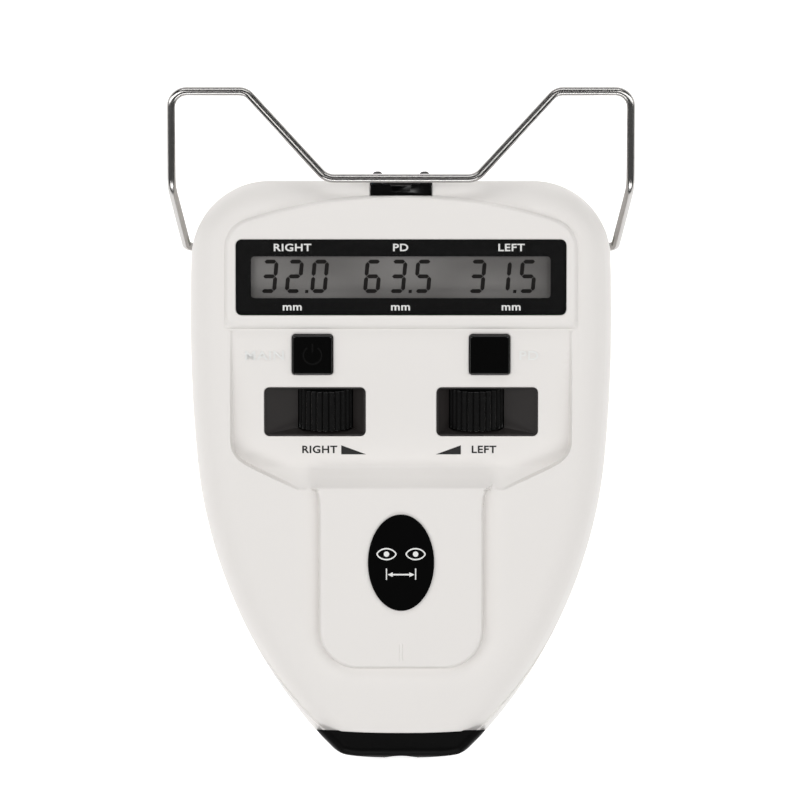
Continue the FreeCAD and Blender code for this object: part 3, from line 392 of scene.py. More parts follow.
def reflective_lcd():
    """Reflective liquid crystal cell: neutral grey, with painted light: lighter and darker patches in its
    colour for light caught by the polariser.
    """
    material, tree, shader = surface("reflective_lcd_grey", srgb("747371"), 0.35, Coat_Weight=0.3,
                                     Coat_Roughness=0.08)
    place = add_node(tree, "ShaderNodeTexCoord")
    mapping = add_node(tree, "ShaderNodeMapping", {"Rotation": (0, 0, 0.6), "Scale": (1, 1.6, 1)},
                       {"Vector": (place, "Object")})
    # Painted light: Voronoi patches make the base colour lighter and darker, standing in for light caught by
    # the polariser.
    painted_light_patch = add_node(tree, "ShaderNodeTexVoronoi",
                     {"Scale": 1 / (38 * MM), "feature": "SMOOTH_F1", "Smoothness": 0.3, "Randomness": 0.8},
                     {"Vector": (mapping, "Vector")})
    ramp = add_node(tree, "ShaderNodeValToRGB", None, {"Fac": (painted_light_patch, "Distance")})
    ramp.color_ramp.elements[0].color = srgb("8A8886")
    ramp.color_ramp.elements[1].color = srgb("5C5A58")
    tree.links.new(ramp.outputs["Color"], shader.inputs["Base Color"])
    return material


def lcd_segment():
    """Switched-on liquid crystal segment: dark grey, no gloss of its own."""
    material, tree, shader = surface("lcd_segment_dark", srgb("1E1C1B"), 0.7, Specular_IOR_Level=0.1)
    grain(tree, shader, 0.3, 0.001, (srgb("1C1A19"), srgb("242221")))
    return material


def clear_acrylic():
    """Cast acrylic: clear, polished; only its reflections show."""
    material, tree, shader = surface("clear_acrylic", srgb("050505"), 0.03, Alpha=0.06, IOR=1.49)
    grain(tree, shader, 8.0, 0.001)
    return material


def coated_glass():
    """Optical crown glass with an anti-reflection coating: a faint green-violet reflection."""
    material, tree, shader = surface("coated_crown_glass", srgb("31413F"), 0.02, Alpha=0.55, IOR=1.52,
                                     Coat_Weight=0.6, Coat_Roughness=0.02)
    shader.inputs["Coat Tint"].default_value = srgb("B9D8D0")
    grain(tree, shader, 20.0, 0.0005)
    return material


def polished_wire():
    """Stainless spring wire, drawn and polished: bright, with faint uneven gloss."""
    material, tree, shader = surface("polished_stainless_wire", srgb("B8B6B4"), 0.22, 1.0)
    grain(tree, shader, 0.35, 0.003, (srgb("BDBBB9"), srgb("ADABA9")), rough=(0.16, 0.28))
    return material


def zinc_steel():
    """Zinc-plated steel: greyer and rougher than the wire."""
    material, tree, shader = surface("zinc_plated_steel", srgb("A9A9A6"), 0.35, 1.0)
    grain(tree, shader, 0.4, 0.006, (srgb("AEAEAB"), srgb("94948F")), rough=(0.28, 0.45))
    return material


def rolled_brass():
    """Spring brass strip."""
    material, tree, shader = surface("rolled_brass", srgb("C9A761"), 0.32, 1.0)
    grain(tree, shader, 0.4, 0.004, (srgb("CDAC66"), srgb("B89551")))
    return material


def silicone_grey():
    """Moulded silicone rubber: matt, slightly translucent grey."""
    material, tree, shader = surface("moulded_grey_silicone", srgb("5F5E5D"), 0.6, Subsurface_Weight=0.1,
                                     Subsurface_Scale=0.001)
    grain(tree, shader, 0.3, 0.01, (srgb("646362"), srgb("545352")))
    return material


def carbon_rubber():
    """Carbon-filled rubber of the key domes and contact strips."""
    material, tree, shader = surface("carbon_filled_rubber", srgb("232323"), 0.8)
    grain(tree, shader, 0.3, 0.01, (srgb("262626"), srgb("1C1C1C")))
    return material


def solder_mask():
    """Glass-fibre board under green solder mask."""
    material, tree, shader = surface("green_solder_mask", srgb("1E5A34"), 0.35)
    grain(tree, shader, 0.8, 0.01, (srgb("206038"), srgb("184A2A")))
    return material


def natural_acetal():
    """Acetal, natural white: slippery, waxy sheen."""
    material, tree, shader = surface("natural_acetal", srgb("DEDCD4"), 0.4, Subsurface_Weight=0.1,
                                     Subsurface_Scale=0.001)
    grain(tree, shader, 0.6, 0.006, (srgb("E0DED6"), srgb("D2D0C8")))
    return material


def cell_sleeve():
    """Shrink sleeve of a dry cell."""
    material, tree, shader = surface("cell_shrink_sleeve", srgb("27335C"), 0.3)
    grain(tree, shader, 1.5, 0.01, (srgb("2A3763"), srgb("212B4F")))
    return material


FINISHES = {}


def finish_of(name):
    """The material of that name, made once."""
    makers = {"white": moulded_white_abs, "gloss": polished_black_abs, "satin": satin_black_abs,
              "trough": trough_black, "wheel": wheel_black, "cap": cap_black, "print": printed_black,
              "white_ink": white_ink, "black_ink": black_ink, "lcd": reflective_lcd, "segment": lcd_segment,
              "acrylic": clear_acrylic, "glass": coated_glass, "wire": polished_wire, "zinc": zinc_steel,
              "brass": rolled_brass, "silicone": silicone_grey, "rubber": carbon_rubber, "board": solder_mask,
              "acetal": natural_acetal, "sleeve": cell_sleeve}
    if name not in FINISHES:
        FINISHES[name] = makers[name]()
    return FINISHES[name]


# ------------------------------------------------------------------ upper shell

def arc_points(centre, radius, start, end, step):
    """Points on an arc from one angle to another, both ends included."""
    count = max(2, int(abs(end - start) * radius / step) + 1)
    return [(centre[0] + radius * math.cos(start + (end - start) * k / count),
             centre[1] + radius * math.sin(start + (end - start) * k / count)) for k in range(count + 1)]


def housing_outline(inset, step=2.0):
    """The housing's plan outline, moved in by an inset: front line, corner, side, taper and tail arcs."""
    half, widest, corner, side, taper = 81.0, 48.0, 30.0, 600.0, 187.0
    back, tail = 53.0, -128.0
    side_centre = (half - side, widest)
    corner_y = FRONT_Y - corner
    reach = math.sqrt((side - corner) ** 2 - (corner_y - widest) ** 2)
    corner_centre = (side_centre[0] + reach, corner_y)
    join = math.asin((corner_y - widest) / (side - corner))
    leave = -math.asin(back / side)
    taper_centre = (side_centre[0] + (side - taper) * math.cos(leave),
                    widest + (side - taper) * math.sin(leave))
    drop = taper_centre[1] - tail
    tail_radius = (taper_centre[0] ** 2 + drop ** 2 - taper ** 2) / (2 * (drop - taper))
    tail_centre = (0, tail + tail_radius)
    turn = math.atan2(tail_centre[1] - taper_centre[1], -taper_centre[0])
    right = arc_points(corner_centre, corner - inset, math.pi / 2, join, step)
    right += arc_points(side_centre, side - inset, join, leave, step)[1:]
    right += arc_points(taper_centre, taper - inset, leave, turn, step)[1:]
    right += arc_points(tail_centre, tail_radius - inset, turn, -math.pi / 2, step)[1:]
    count = int(2 * corner_centre[0] / step)
    front = [(-corner_centre[0] + 2 * corner_centre[0] * k / count, FRONT_Y - inset) for k in range(1, count)]
    left = [(-x, y) for x, y in reversed(right[:-1])]
    return front + right + left


def trimmed(points, limit, bulge):
    """A clockwise outline cut off below a limit in y, by an arc that bulges out."""
    result = []
    for (ax, ay), (bx, by) in zip(points, points[1:] + points[:1]):
        if ay >= limit:
            result.append((ax, ay))
        if (ay >= limit) != (by >= limit):
            half = abs(ax + (bx - ax) * (limit - ay) / (by - ay))
            if by < limit:
                result += [(half * (1 - k / 20), limit - bulge * (1 - (1 - k / 20) ** 2)) for k in range(41)]
    return result


def shell_outline():
    """Plan outline of the upper shell: where its round rim meets the parting plane, as far as the end cap."""
    points = housing_outline(0, 1.6)
    moved = []
    for i, (x, y) in enumerate(points):
        before, after = points[i - 1], points[(i + 1) % len(points)]
        across, along = after[0] - before[0], after[1] - before[1]
        size = math.hypot(across, along)
        inset = 0
        for _ in range(4):
            level = y - across / size * inset
            lift = PARTING - (DECK_HEIGHT + DECK_SLOPE * level - SHOULDER_DROP - RIM)
            inset = RIM - math.sqrt(RIM ** 2 - lift ** 2) if lift > 0 else 0
        moved.append((x + along / size * inset, y - across / size * inset))
    return trimmed(moved, SHELL_END, END_BULGE)


def unbroken(line):
    """A line cut where two of its points lie far apart."""
    parts, part = [], []
    for point in line:
        if part and math.dist(part[-1], point) > 3.2:
            parts.append(part)
            part = []
        part.append(point)
    return [p for p in parts + [part] if len(p) > 1]


def runs_inside(points, area, margin):
    """Stretches of a line that lie inside a closed outline by a margin."""
    runs, run = [], []
    for point, good in zip(points, signed(area, np.array(points, float)) > margin):
        if good:
            run.append(point)
        elif run:
            runs.append(run)
            run = []
    if run:
        runs.append(run)
    return [r for r in runs if len(r) > 1]


def distance_to(points, xy):
    """Distance of many points to a closed outline."""
    path = np.array(points + points[:1], float)
    best = np.full(len(xy), 1e9)
    for a, b in zip(path[:-1], path[1:]):
        run = b - a
        size = max(float(run @ run), 1e-12)
        share = np.clip(((xy - a) @ run) / size, 0, 1)
        gap = xy - a - share[:, None] * run
        best = np.minimum(best, np.hypot(gap[:, 0], gap[:, 1]))
    return best


def signed(points, xy):
    """Signed distance to a closed outline, positive inside."""
    return np.where(is_inside(points, xy), 1, -1) * distance_to(points, xy)


def ease(value, low, high):
    """Smooth step of an array from 0 at low to 1 at high."""
    share = np.clip((value - low) / (high - low), 0, 1)
    return share * share * (3 - 2 * share)


def hood_outline(grow=0.0):
    """Display hood in plan: straight sides, round corners, bowed front."""
    half, corner, bow, front, foot = 67.5 + grow, 12.0 + grow, 190.0 + grow, 94.4 + grow, 30.0
    centre = (0, front - bow)
    middle = half - corner
    reach = math.sqrt((bow - corner) ** 2 - middle ** 2)
    corner_centre = (middle, centre[1] + reach)
    lean = math.atan2(reach, middle)
    right = [(half, foot + (corner_centre[1] - foot) * k / 24) for k in range(24)]
    right += arc_points(corner_centre, corner, 0, lean, 1.0)
    bowed = arc_points(centre, bow, lean, math.pi / 2, 2.0)[1:]
    side = right + bowed
    return side + [(-x, y) for x, y in reversed(side[:-1])]


def panel_outline(grow=0.0):
    """Control panel in plan, open towards the hood: straight sides, then a sweep in to the tongue."""
    half = 65.5 + grow
    sweep = [(half, 0.5), (half - 0.5, -3.2), (half - 2.6, -6.6 - grow * 0.5),
             (half - 6.5, -9.4 - grow * 0.8), (half - 13.5, -12.9 - grow), (half - 20.5, -16.2 - grow),
             (half - 26.0, -18.9 - grow)]
    side = [(half, 60.0 - 59.5 * k / 20) for k in range(20)] + smooth_path(sweep, 8)
    bottom = [(side[-1][0] - 2 * side[-1][0] * k / 24, side[-1][1]) for k in range(1, 24)]
    return side + bottom + [(-x, y) for x, y in reversed(side)]


def smooth_path(points, steps):
    """A Catmull-Rom curve through points."""
    ends = [points[0]] + points + [points[-1]]
    path = []
    for a, b, c, d in zip(ends, ends[1:], ends[2:], ends[3:]):
        for k in range(steps):
            u = k / steps
            path.append(tuple(0.5 * (2 * b[i] + (c[i] - a[i]) * u
                                     + (2 * a[i] - 5 * b[i] + 4 * c[i] - d[i]) * u * u
                                     + (3 * b[i] - a[i] - 3 * c[i] + d[i]) * u ** 3) for i in (0, 1)))
    return path + [points[-1]]


def tongue_outline(grow=0.0):
    """Tongue in plan: flared top corners, straight sides, round lower corners."""
    half, end, radius = 31.5 + grow, -87.4 - grow, 15.0 + grow
    flare = [(half + 2.8, -17.4), (half + 1.3, -19.3 - grow), (half + 0.4, -21.6 - grow), (half + 0.1, -25)]
    side = smooth_path(flare, 6) + [(half, -28 - 44 * k / 20) for k in range(20)]
    side += arc_points((half - radius, end + radius), radius, 0, -math.pi / 2, 1.2)
    return side + [(-x, y) for x, y in reversed(side)]


def cut_loops(grow=0.0):
    """Outlines cut through the shell, in plan: window, push buttons and wheel wells."""
    cuts = [(WINDOW_SIZE, 0.3, DECK_TILT, 2.3, (0, WINDOW_Y))]
    for _, sign in SIDES:
        cuts.append((KEY_SIZE, 0.6, PANEL_TILT, 1.3, (sign * KEY_X, PANEL_Y + KEY_V * math.cos(PANEL_TILT))))
        cuts.append((WELL_SIZE, 0, PANEL_TILT, 2.0, (sign * WELL_X, PANEL_Y)))
    loops = []
    for (width, length), gap, tilt, corner, centre in cuts:
        across, along = width + gap + 2 * grow, (length + gap) * math.cos(tilt) + 2 * grow
        loops.append(dense(rounded_rectangle(across, along, corner + grow, centre), 2.0))
    return loops


def dense(points, step):
    """A closed outline with no run longer than a step."""
    result = []
    for (ax, ay), (bx, by) in zip(points, points[1:] + points[:1]):
        count = max(1, int(math.hypot(bx - ax, by - ay) / step))
        result += [(ax + (bx - ax) * k / count, ay + (by - ay) * k / count) for k in range(count)]
    return result


def panel_height(x, y):
    """Height of the control panel and of the rise behind it, which climbs higher in front of the tongue."""
    slope, soft = math.tan(PANEL_TILT), 0.2
    flat = PANEL_Z + slope * (y - PANEL_Y)
    top = 44.2 + 3.4 * ease(37.0 - np.abs(x), 0, 3)
    foot = PANEL_Z + slope * (RISE_FOOT - PANEL_Y)
    rise = foot + (RISE_FOOT - y) * (top - foot) / (RISE_FOOT - RISE_END)
    return (flat + rise) / 2 + np.sqrt(((flat - rise) / 2) ** 2 + soft ** 2)


def shell_height(xy):
    """Height of the upper shell's outside at many plan points."""
    settings = bpy.context.scene.pd_housing
    x, y = xy[:, 0], xy[:, 1]
    edge = np.clip(distance_to(housing_outline(0, 1.0), xy), 0, RIM)
    deck = DECK_HEIGHT + DECK_SLOPE * y
    base = deck - SHOULDER_DROP - RIM + np.sqrt(np.maximum(RIM ** 2 - (RIM - edge) ** 2, 0))
    tongue = signed(tongue_outline(), xy)
    beside = ease(y, -104, -74) * ease(-y, 8, 26)
    dip = np.exp(-(np.minimum(tongue, 0) / VALLEY_WIDTH) ** 2)
    base = base - settings.valley * beside * dip * (tongue < 0)
    hood = signed(hood_outline(), xy)
    lift = np.sin(math.pi / 2 * np.clip((hood + 0.25) / settings.hood_edge, 0, 1))
    rounded = np.sqrt(1 - (np.clip(HOOD_FOOT + FOOT_ROUND - y, 0, FOOT_ROUND) / FOOT_ROUND) ** 2)
    height = base + (deck - base) * lift * rounded
    raise_up = np.sin(math.pi / 2 * np.clip((tongue + 0.3) / 1.3, 0, 1))
    height = height + (deck - height) * raise_up * (y < -12)
    tick = ease(0.75 - np.abs(x), 0, 0.35) * ease(3.9 - np.abs(y + 81.6), 0, 0.4)
    height = height + 0.35 * tick
    panel = signed(panel_outline(), xy)
    brow = np.where(y > HOOD_FOOT, deck - FOOT_ROUND * (1 - rounded), 0)
    floor = np.maximum(panel_height(x, y), brow)
    within = ease(panel, -0.2, 1.0) * (y < HOOD_FOOT + FOOT_ROUND)
    lower = np.minimum(height, floor)
    height = height + (lower - height) * within
    for loop in cut_loops():
        gap = np.clip(distance_to(loop, xy), 0, CUT_ROUND)
        fall = CUT_ROUND - np.sqrt(np.maximum(CUT_ROUND ** 2 - (CUT_ROUND - gap) ** 2, 0))
        height = height - fall * (gap < CUT_ROUND)
    end = np.clip(y - end_line(x), 0, END_ROUND)
    height = height - END_ROUND + np.sqrt(np.maximum(END_ROUND ** 2 - (END_ROUND - end) ** 2, 0))
    return np.maximum(height, PARTING + 0.02)


def end_line(x):
    """Where the shell ends over the end cap, at a distance from the middle."""
    return SHELL_END - END_BULGE * (1 - np.clip(np.abs(x) / 33.5, 0, 1) ** 2)


def shell_sheet():
    """Plan triangulation of the upper shell, with lines along every edge that has to shade cleanly."""
    outer = shell_outline()
    points, edges = [], []

    def add_line(line, closed=False):
        """Add the points and edges of one line."""
        start = len(points)
        points.extend(Vector(p) for p in line)
        edges.extend((start + i, start + i + 1) for i in range(len(line) - 1))
        if closed:
            edges.append((start + len(line) - 1, start))

    def add_band(make, offsets, low, high):
        """Add an outline at several offsets, where it lies on the shell between two levels."""
        for offset in offsets:
            loop = dense(make(offset), 1.5)
            for run in runs_inside(loop + loop[:1], outer, 0.3):
                for part in unbroken([p for p in run if low < p[1] < high]):
                    add_line(part)

    add_line(outer, True)
    rings = [RIM * (1 - math.cos(math.radians(a))) for a in (6, 12, 19, 27, 36, 45, 55, 65, 77, 90)]
    for ring in rings + [WALL, WALL + 0.15]:
        loop = housing_outline(ring, 1.8)
        for run in runs_inside(loop + loop[:1], outer, 0.15):
            add_line(run)
    for step in (0.06, 0.15, 0.3, 0.5, 0.75):
        add_line([(x, float(end_line(x)) + step) for x in np.linspace(-31.5, 31.5, 42)])
    add_band(hood_outline, (-1.7, -1.2, -0.8, -0.45, -0.15, 0.12, 0.3, 0.7), 46, 120)
    add_band(panel_outline, (-1.1, -0.8, -0.5, -0.2, 0.0, 0.2, 0.6), -40, 42.4)
    add_band(tongue_outline, (-1.1, -0.7, -0.35, 0.0, 0.3, 1.0), -120, -19)
    for offset in (0.0, 0.1, 0.25, 0.45, 0.9):
        for loop in cut_loops(offset):
            add_line(loop, True)
    for rise in (-0.6, -0.15, 0.0, 0.05, 0.12, 0.25, 0.45, 0.75, 1.15, 1.6, 2.1, 2.8, 3.4):
        add_line([(-68 + 2.0 * i, HOOD_FOOT + rise) for i in range(69)])
    for sign in (-1, 1):
        add_line([(sign * BOSS_X, 54.5 + 1.7 * i) for i in range(24)])
    for level in (-8.2, -9.0, -9.7, -10.2, -10.7, -11.4, -12.2):
        add_line([(-52 + 2.0 * i, level) for i in range(53)])
    for x in (-0.75, -0.4, 0.4, 0.75):
        add_line([(x, -77.7 - 1.3 * i) for i in range(7)])
    spacing, cell = 2.4, 1.2
    grid = [(-80 + spacing * i, -112 + spacing * j) for i in range(68) for j in range(89)]
    taken = {(int(p.x // cell), int(p.y // cell)) for p in points}
    for (x, y), deep in zip(grid, signed(outer, np.array(grid)) > 0.6):
        if deep and (int(x // cell), int(y // cell)) not in taken:
            points.append(Vector((x, y)))
    verts, _, faces, _, _, _ = delaunay_2d_cdt(points, edges, [], 0, 1e-5)
    return np.array([(v.x, v.y) for v in verts]), faces_within(verts, faces, outer, cut_loops())


def upper_shell_mesh():
    """The upper shell as a closed body: outside skin, inside skin and the walls between them."""
    xy, faces = shell_sheet()
    top = shell_height(xy)
    edge = distance_to(housing_outline(0, 1.0), xy)
    x, y = np.abs(xy[:, 0]), xy[:, 1]
    boss = (x > BOSS_X - 0.01) & (np.abs(y - PIVOT_Y) < BOSS_REACH)
    notch = (x < NOTCH_X + NOTCH_WALL) & (y > NOTCH_Y - NOTCH_WALL)
    solid = (edge < WALL + 0.05) | boss | notch
    under = np.where(solid, PARTING, np.maximum(top - WALL, PARTING))
    work = bmesh.new()
    skins = [[(x, y, z) for (x, y), z in zip(xy, level)] for level in (top, under)]
    close_sheet(work, *skins, faces)
    bmesh.ops.scale(work, vec=(MM, MM, MM), verts=work.verts)
    bmesh.ops.recalc_face_normals(work, faces=work.faces)
    return mesh_from("upper_shell_raw", work)


def cutter(name, low, high):
    """A box that is only used to cut another piece."""
    work = bmesh.new()
    bmesh.ops.create_cube(work, size=1)
    low, high = Vector(low) * MM, Vector(high) * MM
    place = Matrix.Translation((low + high) / 2) @ Matrix.Diagonal((*(high - low), 1))
    bmesh.ops.transform(work, verts=work.verts, matrix=place)
    return object_from(name, work)


def round_cutter(name, centre, radius, length, axis):
    """A cylinder about a centre that is only used to cut another piece."""
    work = bmesh.new()
    bmesh.ops.create_cone(work, cap_ends=True, segments=96, radius1=radius * MM, radius2=radius * MM,
                          depth=length * MM)
    turn = Matrix.Rotation(math.pi / 2, 4, "Y") if axis == "x" else Matrix.Rotation(math.pi / 2, 4, "X")
    bmesh.ops.transform(work, verts=work.verts, matrix=Matrix.Translation(Vector(centre) * MM) @ turn)
    return object_from(name, work)


def object_from(name, work):
    """A bare object from a bmesh."""
    return linked(name, mesh_from(name, work))


def less(mesh, tools):
    """The mesh with each tool cut away."""
    host = linked("host", mesh)
    for tool in tools:
        modifier = host.modifiers.new(tool.name, "BOOLEAN")
        modifier.operation = "DIFFERENCE"
        modifier.solver = "EXACT"
        modifier.object = tool
    return baked(host, tools)


def baked(host, tools=()):
    """The evaluated mesh of an object; the object and its tools are removed."""
    bpy.context.view_layer.update()
    graph = bpy.context.evaluated_depsgraph_get()
    result = bpy.data.meshes.new_from_object(host.evaluated_get(graph))
    for spare in [host, *tools]:
        bpy.data.objects.remove(spare)
    return result


class PD_OT_upper_shell(bpy.types.Operator):
    """Make the white upper shell with hood, control panel and tongue"""
    bl_idname = "pd.upper_shell"
    bl_label = "Upper shell"

    def execute(self, context):
        tools = [cutter("nose_cut", (-NOTCH_X, NOTCH_Y, 10), (NOTCH_X, 110, 90)),
                 cutter("plate_cut", (-PLATE_X, FRONT_Y - PLATE_DEPTH, PLATE_LOW),
                        (PLATE_X, 110, PLATE_HIGH))]
        pivot_rounds = (("pocket_", POCKET_X + 10, POCKET_RADIUS), ("bush_", BOSS_X, BUSH_RADIUS))
        for side, sign in SIDES:
            for name, x, radius in pivot_rounds:
                tools.append(round_cutter(name + side, (sign * x, PIVOT_Y, PIVOT_Z), radius, 20, "x"))
            tools.append(round_cutter("eye_" + side, (sign * EYE_X, 98, EYE_Z), EYE_RADIUS, 20, "y"))
        mesh = less(upper_shell_mesh(), tools)
        piece = moved_mesh("upper_shell_moulding", mesh, "case", "white", 32)
        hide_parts("upper_shell")
        return {"FINISHED"}


class PD_OT_lower_shell(bpy.types.Operator):
    """Make the white lower shell, its battery door and its screws"""
    bl_idname = "pd.lower_shell"
    bl_label = "Lower shell"

    def execute(self, context):
        finished_node("lower_shell", "case", "white", bevel=0)
        finished_node("battery_door", "door", "white", 0.3)
        finished_node("case_screws", "case", "zinc", 0.2)
        finished_node("distance_slider", "distance_set", "satin", 0.15)
        finished_node("occluder_slider", "occluder", "satin", 0.15)
        return {"FINISHED"}


# ------------------------------------------------------------------ display

SEGMENTS = {"0": "abcdef", "1": "bc", "2": "abged", "3": "abgcd", "4": "fgbc", "5": "afgcd", "6": "afgedc",
            "7": "abc", "8": "abcdefg", "9": "abcdfg"}


def segment_shapes(digit, width, height, stroke, gap):
    """Outlines of the lit bars of one seven-segment digit, centred, upright."""
    half_w, half_h = width / 2 - stroke / 2, height / 2 - stroke / 2
    corners = {"a": ((-half_w, half_h), (half_w, half_h)), "b": ((half_w, half_h), (half_w, 0)),
               "c": ((half_w, 0), (half_w, -half_h)), "d": ((-half_w, -half_h), (half_w, -half_h)),
               "e": ((-half_w, 0), (-half_w, -half_h)), "f": ((-half_w, half_h), (-half_w, 0)),
               "g": ((-half_w, 0), (half_w, 0))}
    shapes = []
    for letter in SEGMENTS[digit]:
        start, end = Vector(corners[letter][0]), Vector(corners[letter][1])
        along = (end - start).normalized()
        across = Vector((-along.y, along.x)) * stroke / 2
        a, b = start + along * gap, end - along * gap
        tip = along * stroke / 2
        shapes.append([a, a + tip - across, b - tip - across, b, b - tip + across, a + tip + across])
    return shapes


def reading_shapes(text, centre, pitch=9.7, width=6.3, height=12.9, stroke=1.5, slant=0.09):
    """Outlines of a reading such as 32.0 on the display."""
    digits = text.replace(".", "")
    shapes = []
    for i, digit in enumerate(digits):
        middle = centre[0] + (i - (len(digits) - 1) / 2) * pitch
        for shape in segment_shapes(digit, width, height, stroke, 0.14):
            shapes.append([(middle + p.x + slant * p.y, centre[1] + p.y) for p in shape])
    point = centre[0] + (text.index(".") - len(digits) / 2) * pitch - 0.2
    low, side = centre[1] - height / 2, 1.2
    shapes.append([(point - side / 2, low), (point + side / 2, low), (point + side / 2 + 0.1, low + side),
                   (point - side / 2 + 0.1, low + side)])
    return shapes


def lettering(text, height, centre, low, high, matrix, bold, stretch):
    """Plain sans lettering as a thin solid in a frame of its own, centred."""
    curve = bpy.data.curves.new("lettering", "FONT")
    curve.body = text
    curve.size = height / 0.72
    curve.align_x = "CENTER"
    curve.align_y = "CENTER"
    curve.offset = bold * height
    curve.space_character = 1.08
    curve.extrude = (high - low) / 2
    curve.resolution_u = 4
    mesh = baked(linked("lettering", curve))
    mesh.transform(matrix @ Matrix.Translation((centre[0], centre[1], (low + high) / 2))
                   @ Matrix.Diagonal((stretch, 1, 1, 1)))
    return mesh


def joined(name, meshes):
    """Several meshes as one."""
    work = bmesh.new()
    for mesh in meshes:
        work.from_mesh(mesh)
    return mesh_from(name, work)


class PD_OT_display(bpy.types.Operator):
    """Make the display window, its printed border, the liquid crystal cell and its readings"""
    bl_idname = "pd.display"
    bl_label = "Display"

    def execute(self, context):
        matrix = deck_matrix()
        outline = rounded_rectangle(*WINDOW_SIZE, 2.2)
        view = rounded_rectangle(*VIEW_SIZE, 1.3, (-0.1, -0.2))
        pane = slab_mesh([outline], PANE_UNDER, PANE_TOP, matrix)
        piece = moved_mesh("display_window_sheet", pane, "case", "acrylic", 35, 0.15)
        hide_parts("display_window")
        border = slab_mesh([outline], PRINT_UNDER, PANE_UNDER - 0.01, matrix, [view])
        moved_mesh("display_border_print", border, "case", "print")
        cell = slab_mesh([rounded_rectangle(*CELL_SIZE, 0.5)], CELL_UNDER, CELL_TOP, matrix)
        piece = moved_mesh("lcd_cell", cell, "case", "lcd", 35, 0.1)
        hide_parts("lcd_module")
        shapes = []
        for text, x in (("32.0", -40.9), ("63.5", -1.2), ("31.5", 38.9)):
            shapes += reading_shapes(text, (x, -0.3))
        figures = slab_mesh(shapes, CELL_TOP, CELL_TOP + 0.1, matrix)
        moved_mesh("lcd_readings", figures, "case", "segment")
        names = (("RIGHT", -41.7), ("PD", -0.2), ("LEFT", 42.2))
        ink = (PANE_UNDER, PANE_UNDER + 0.05, matrix, 0.03)
        words = [lettering(text, 2.85, (x, 11.2), *ink, 1.2) for text, x in names]
        words += [lettering("mm", 3.0, (x, -11.7), *ink, 1.16) for x in (-41.7, -0.2, 42.2)]
        legends = moved_mesh("display_legends", joined("legends", words), "case", "white_ink")
        for node, finish in (("lcd_frame", "satin"), ("contact_strips", "rubber"), ("main_board", "board"),
                             ("board_screws", "zinc"), ("key_board", "board"), ("power_dome", "rubber"),
                             ("mode_dome", "rubber")):
            dress(node, finish)
        return {"FINISHED"}


# ------------------------------------------------------------------ controls

def wedge_mark(sign, matrix):
    """Printed wedge that points where the reading grows."""
    thick, thin, top, foot = sign * 23.0, sign * 13.4, -13.3, -16.9
    return slab_mesh([[(thick, top), (thick, foot), (thin, foot)]], 0.0, INK, matrix)


class PD_OT_controls(bpy.types.Operator):
    """Make the push buttons, their legends and the marks on the control panel"""
    bl_idname = "pd.controls"
    bl_label = "Buttons and legends"

    def execute(self, context):
        matrix = panel_matrix()
        finished_node("power_button", "power_key", "gloss", 0.3)
        finished_node("mode_button", "mode_key", "gloss", 0.3)
        start, end = math.radians(125), math.radians(415)
        outer, inner = [arc_points((-KEY_X, KEY_V), radius, start, end, 0.4) for radius in (3.75, 3.25)]
        bar = [(-KEY_X + x, KEY_V + v) for x, v in ((-0.25, 1.2), (0.25, 1.2), (0.25, 4.6), (-0.25, 4.6))]
        icon = slab_mesh([outer + inner[::-1], bar], 1.6, 1.64, matrix)
        moved_mesh("power_symbol", icon, "power_key", "print")
        raised = [lettering(text, 3.6, (x, KEY_V - 0.6), -0.3, 0.4, matrix, 0.02, 1.2)
                  for text, x in (("MAIN", -52.4), ("PD", 49.0))]
        legends = moved_mesh("raised_legends", joined("raised", raised), "case", "white_ink")
        printed = [lettering(text, 2.9, (x, -15.1), 0.0, INK, matrix, 0.035, 1.1)
                   for text, x in (("RIGHT", -31.4), ("LEFT", 31.8))]
        printed += [wedge_mark(sign, matrix) for _, sign in SIDES]
        marks = moved_mesh("printed_marks", joined("printed", printed), "case", "black_ink")
        return {"FINISHED"}


# ------------------------------------------------------------------ thumbwheels

def rib_nodes():
    """Geometry Nodes: a core's ribs, one rounded bar repeated round the axle."""
    tree = bpy.data.node_groups.new("thumbwheel_ribs", "GeometryNodeTree")
    sockets = (("Ribs", "NodeSocketInt"), ("Ring", "NodeSocketFloat"), ("Rib radius", "NodeSocketFloat"),
               ("Length", "NodeSocketFloat"), ("Material", "NodeSocketMaterial"))
    for name, kind in sockets:
        tree.interface.new_socket(name, in_out="INPUT", socket_type=kind)
    tree.interface.new_socket("Geometry", in_out="OUTPUT", socket_type="NodeSocketGeometry")
    source = add_node(tree, "NodeGroupInput")
    ring = add_node(tree, "GeometryNodeMeshCircle", None,
                    {"Vertices": (source, "Ribs"), "Radius": (source, "Ring")})
    bar = add_node(tree, "GeometryNodeMeshCylinder", {"Vertices": 20, "Side Segments": 1},
                   {"Radius": (source, "Rib radius"), "Depth": (source, "Length")})
    index = add_node(tree, "GeometryNodeInputIndex")
    share = add_node(tree, "ShaderNodeMath", {"operation": "DIVIDE"},
                     {0: (index, "Index"), 1: (source, "Ribs")})
    angle = add_node(tree, "ShaderNodeMath", {"operation": "MULTIPLY_ADD", 1: 2 * math.pi, 2: math.pi / 8},
                     {0: (share, "Value")})
    turn = add_node(tree, "ShaderNodeCombineXYZ", None, {"Z": (angle, "Value")})
    placed = add_node(tree, "GeometryNodeInstanceOnPoints", None,
                      {"Points": (ring, "Mesh"), "Instance": (bar, "Mesh"), "Rotation": (turn, "Vector")})
    real = add_node(tree, "GeometryNodeRealizeInstances", None, {"Geometry": (placed, "Instances")})
    dressed = add_node(tree, "GeometryNodeSetMaterial", None,
                       {"Geometry": (real, "Geometry"), "Material": (source, "Material")})
    sink = add_node(tree, "NodeGroupOutput")
    tree.links.new(dressed.outputs["Geometry"], sink.inputs["Geometry"])
    return tree


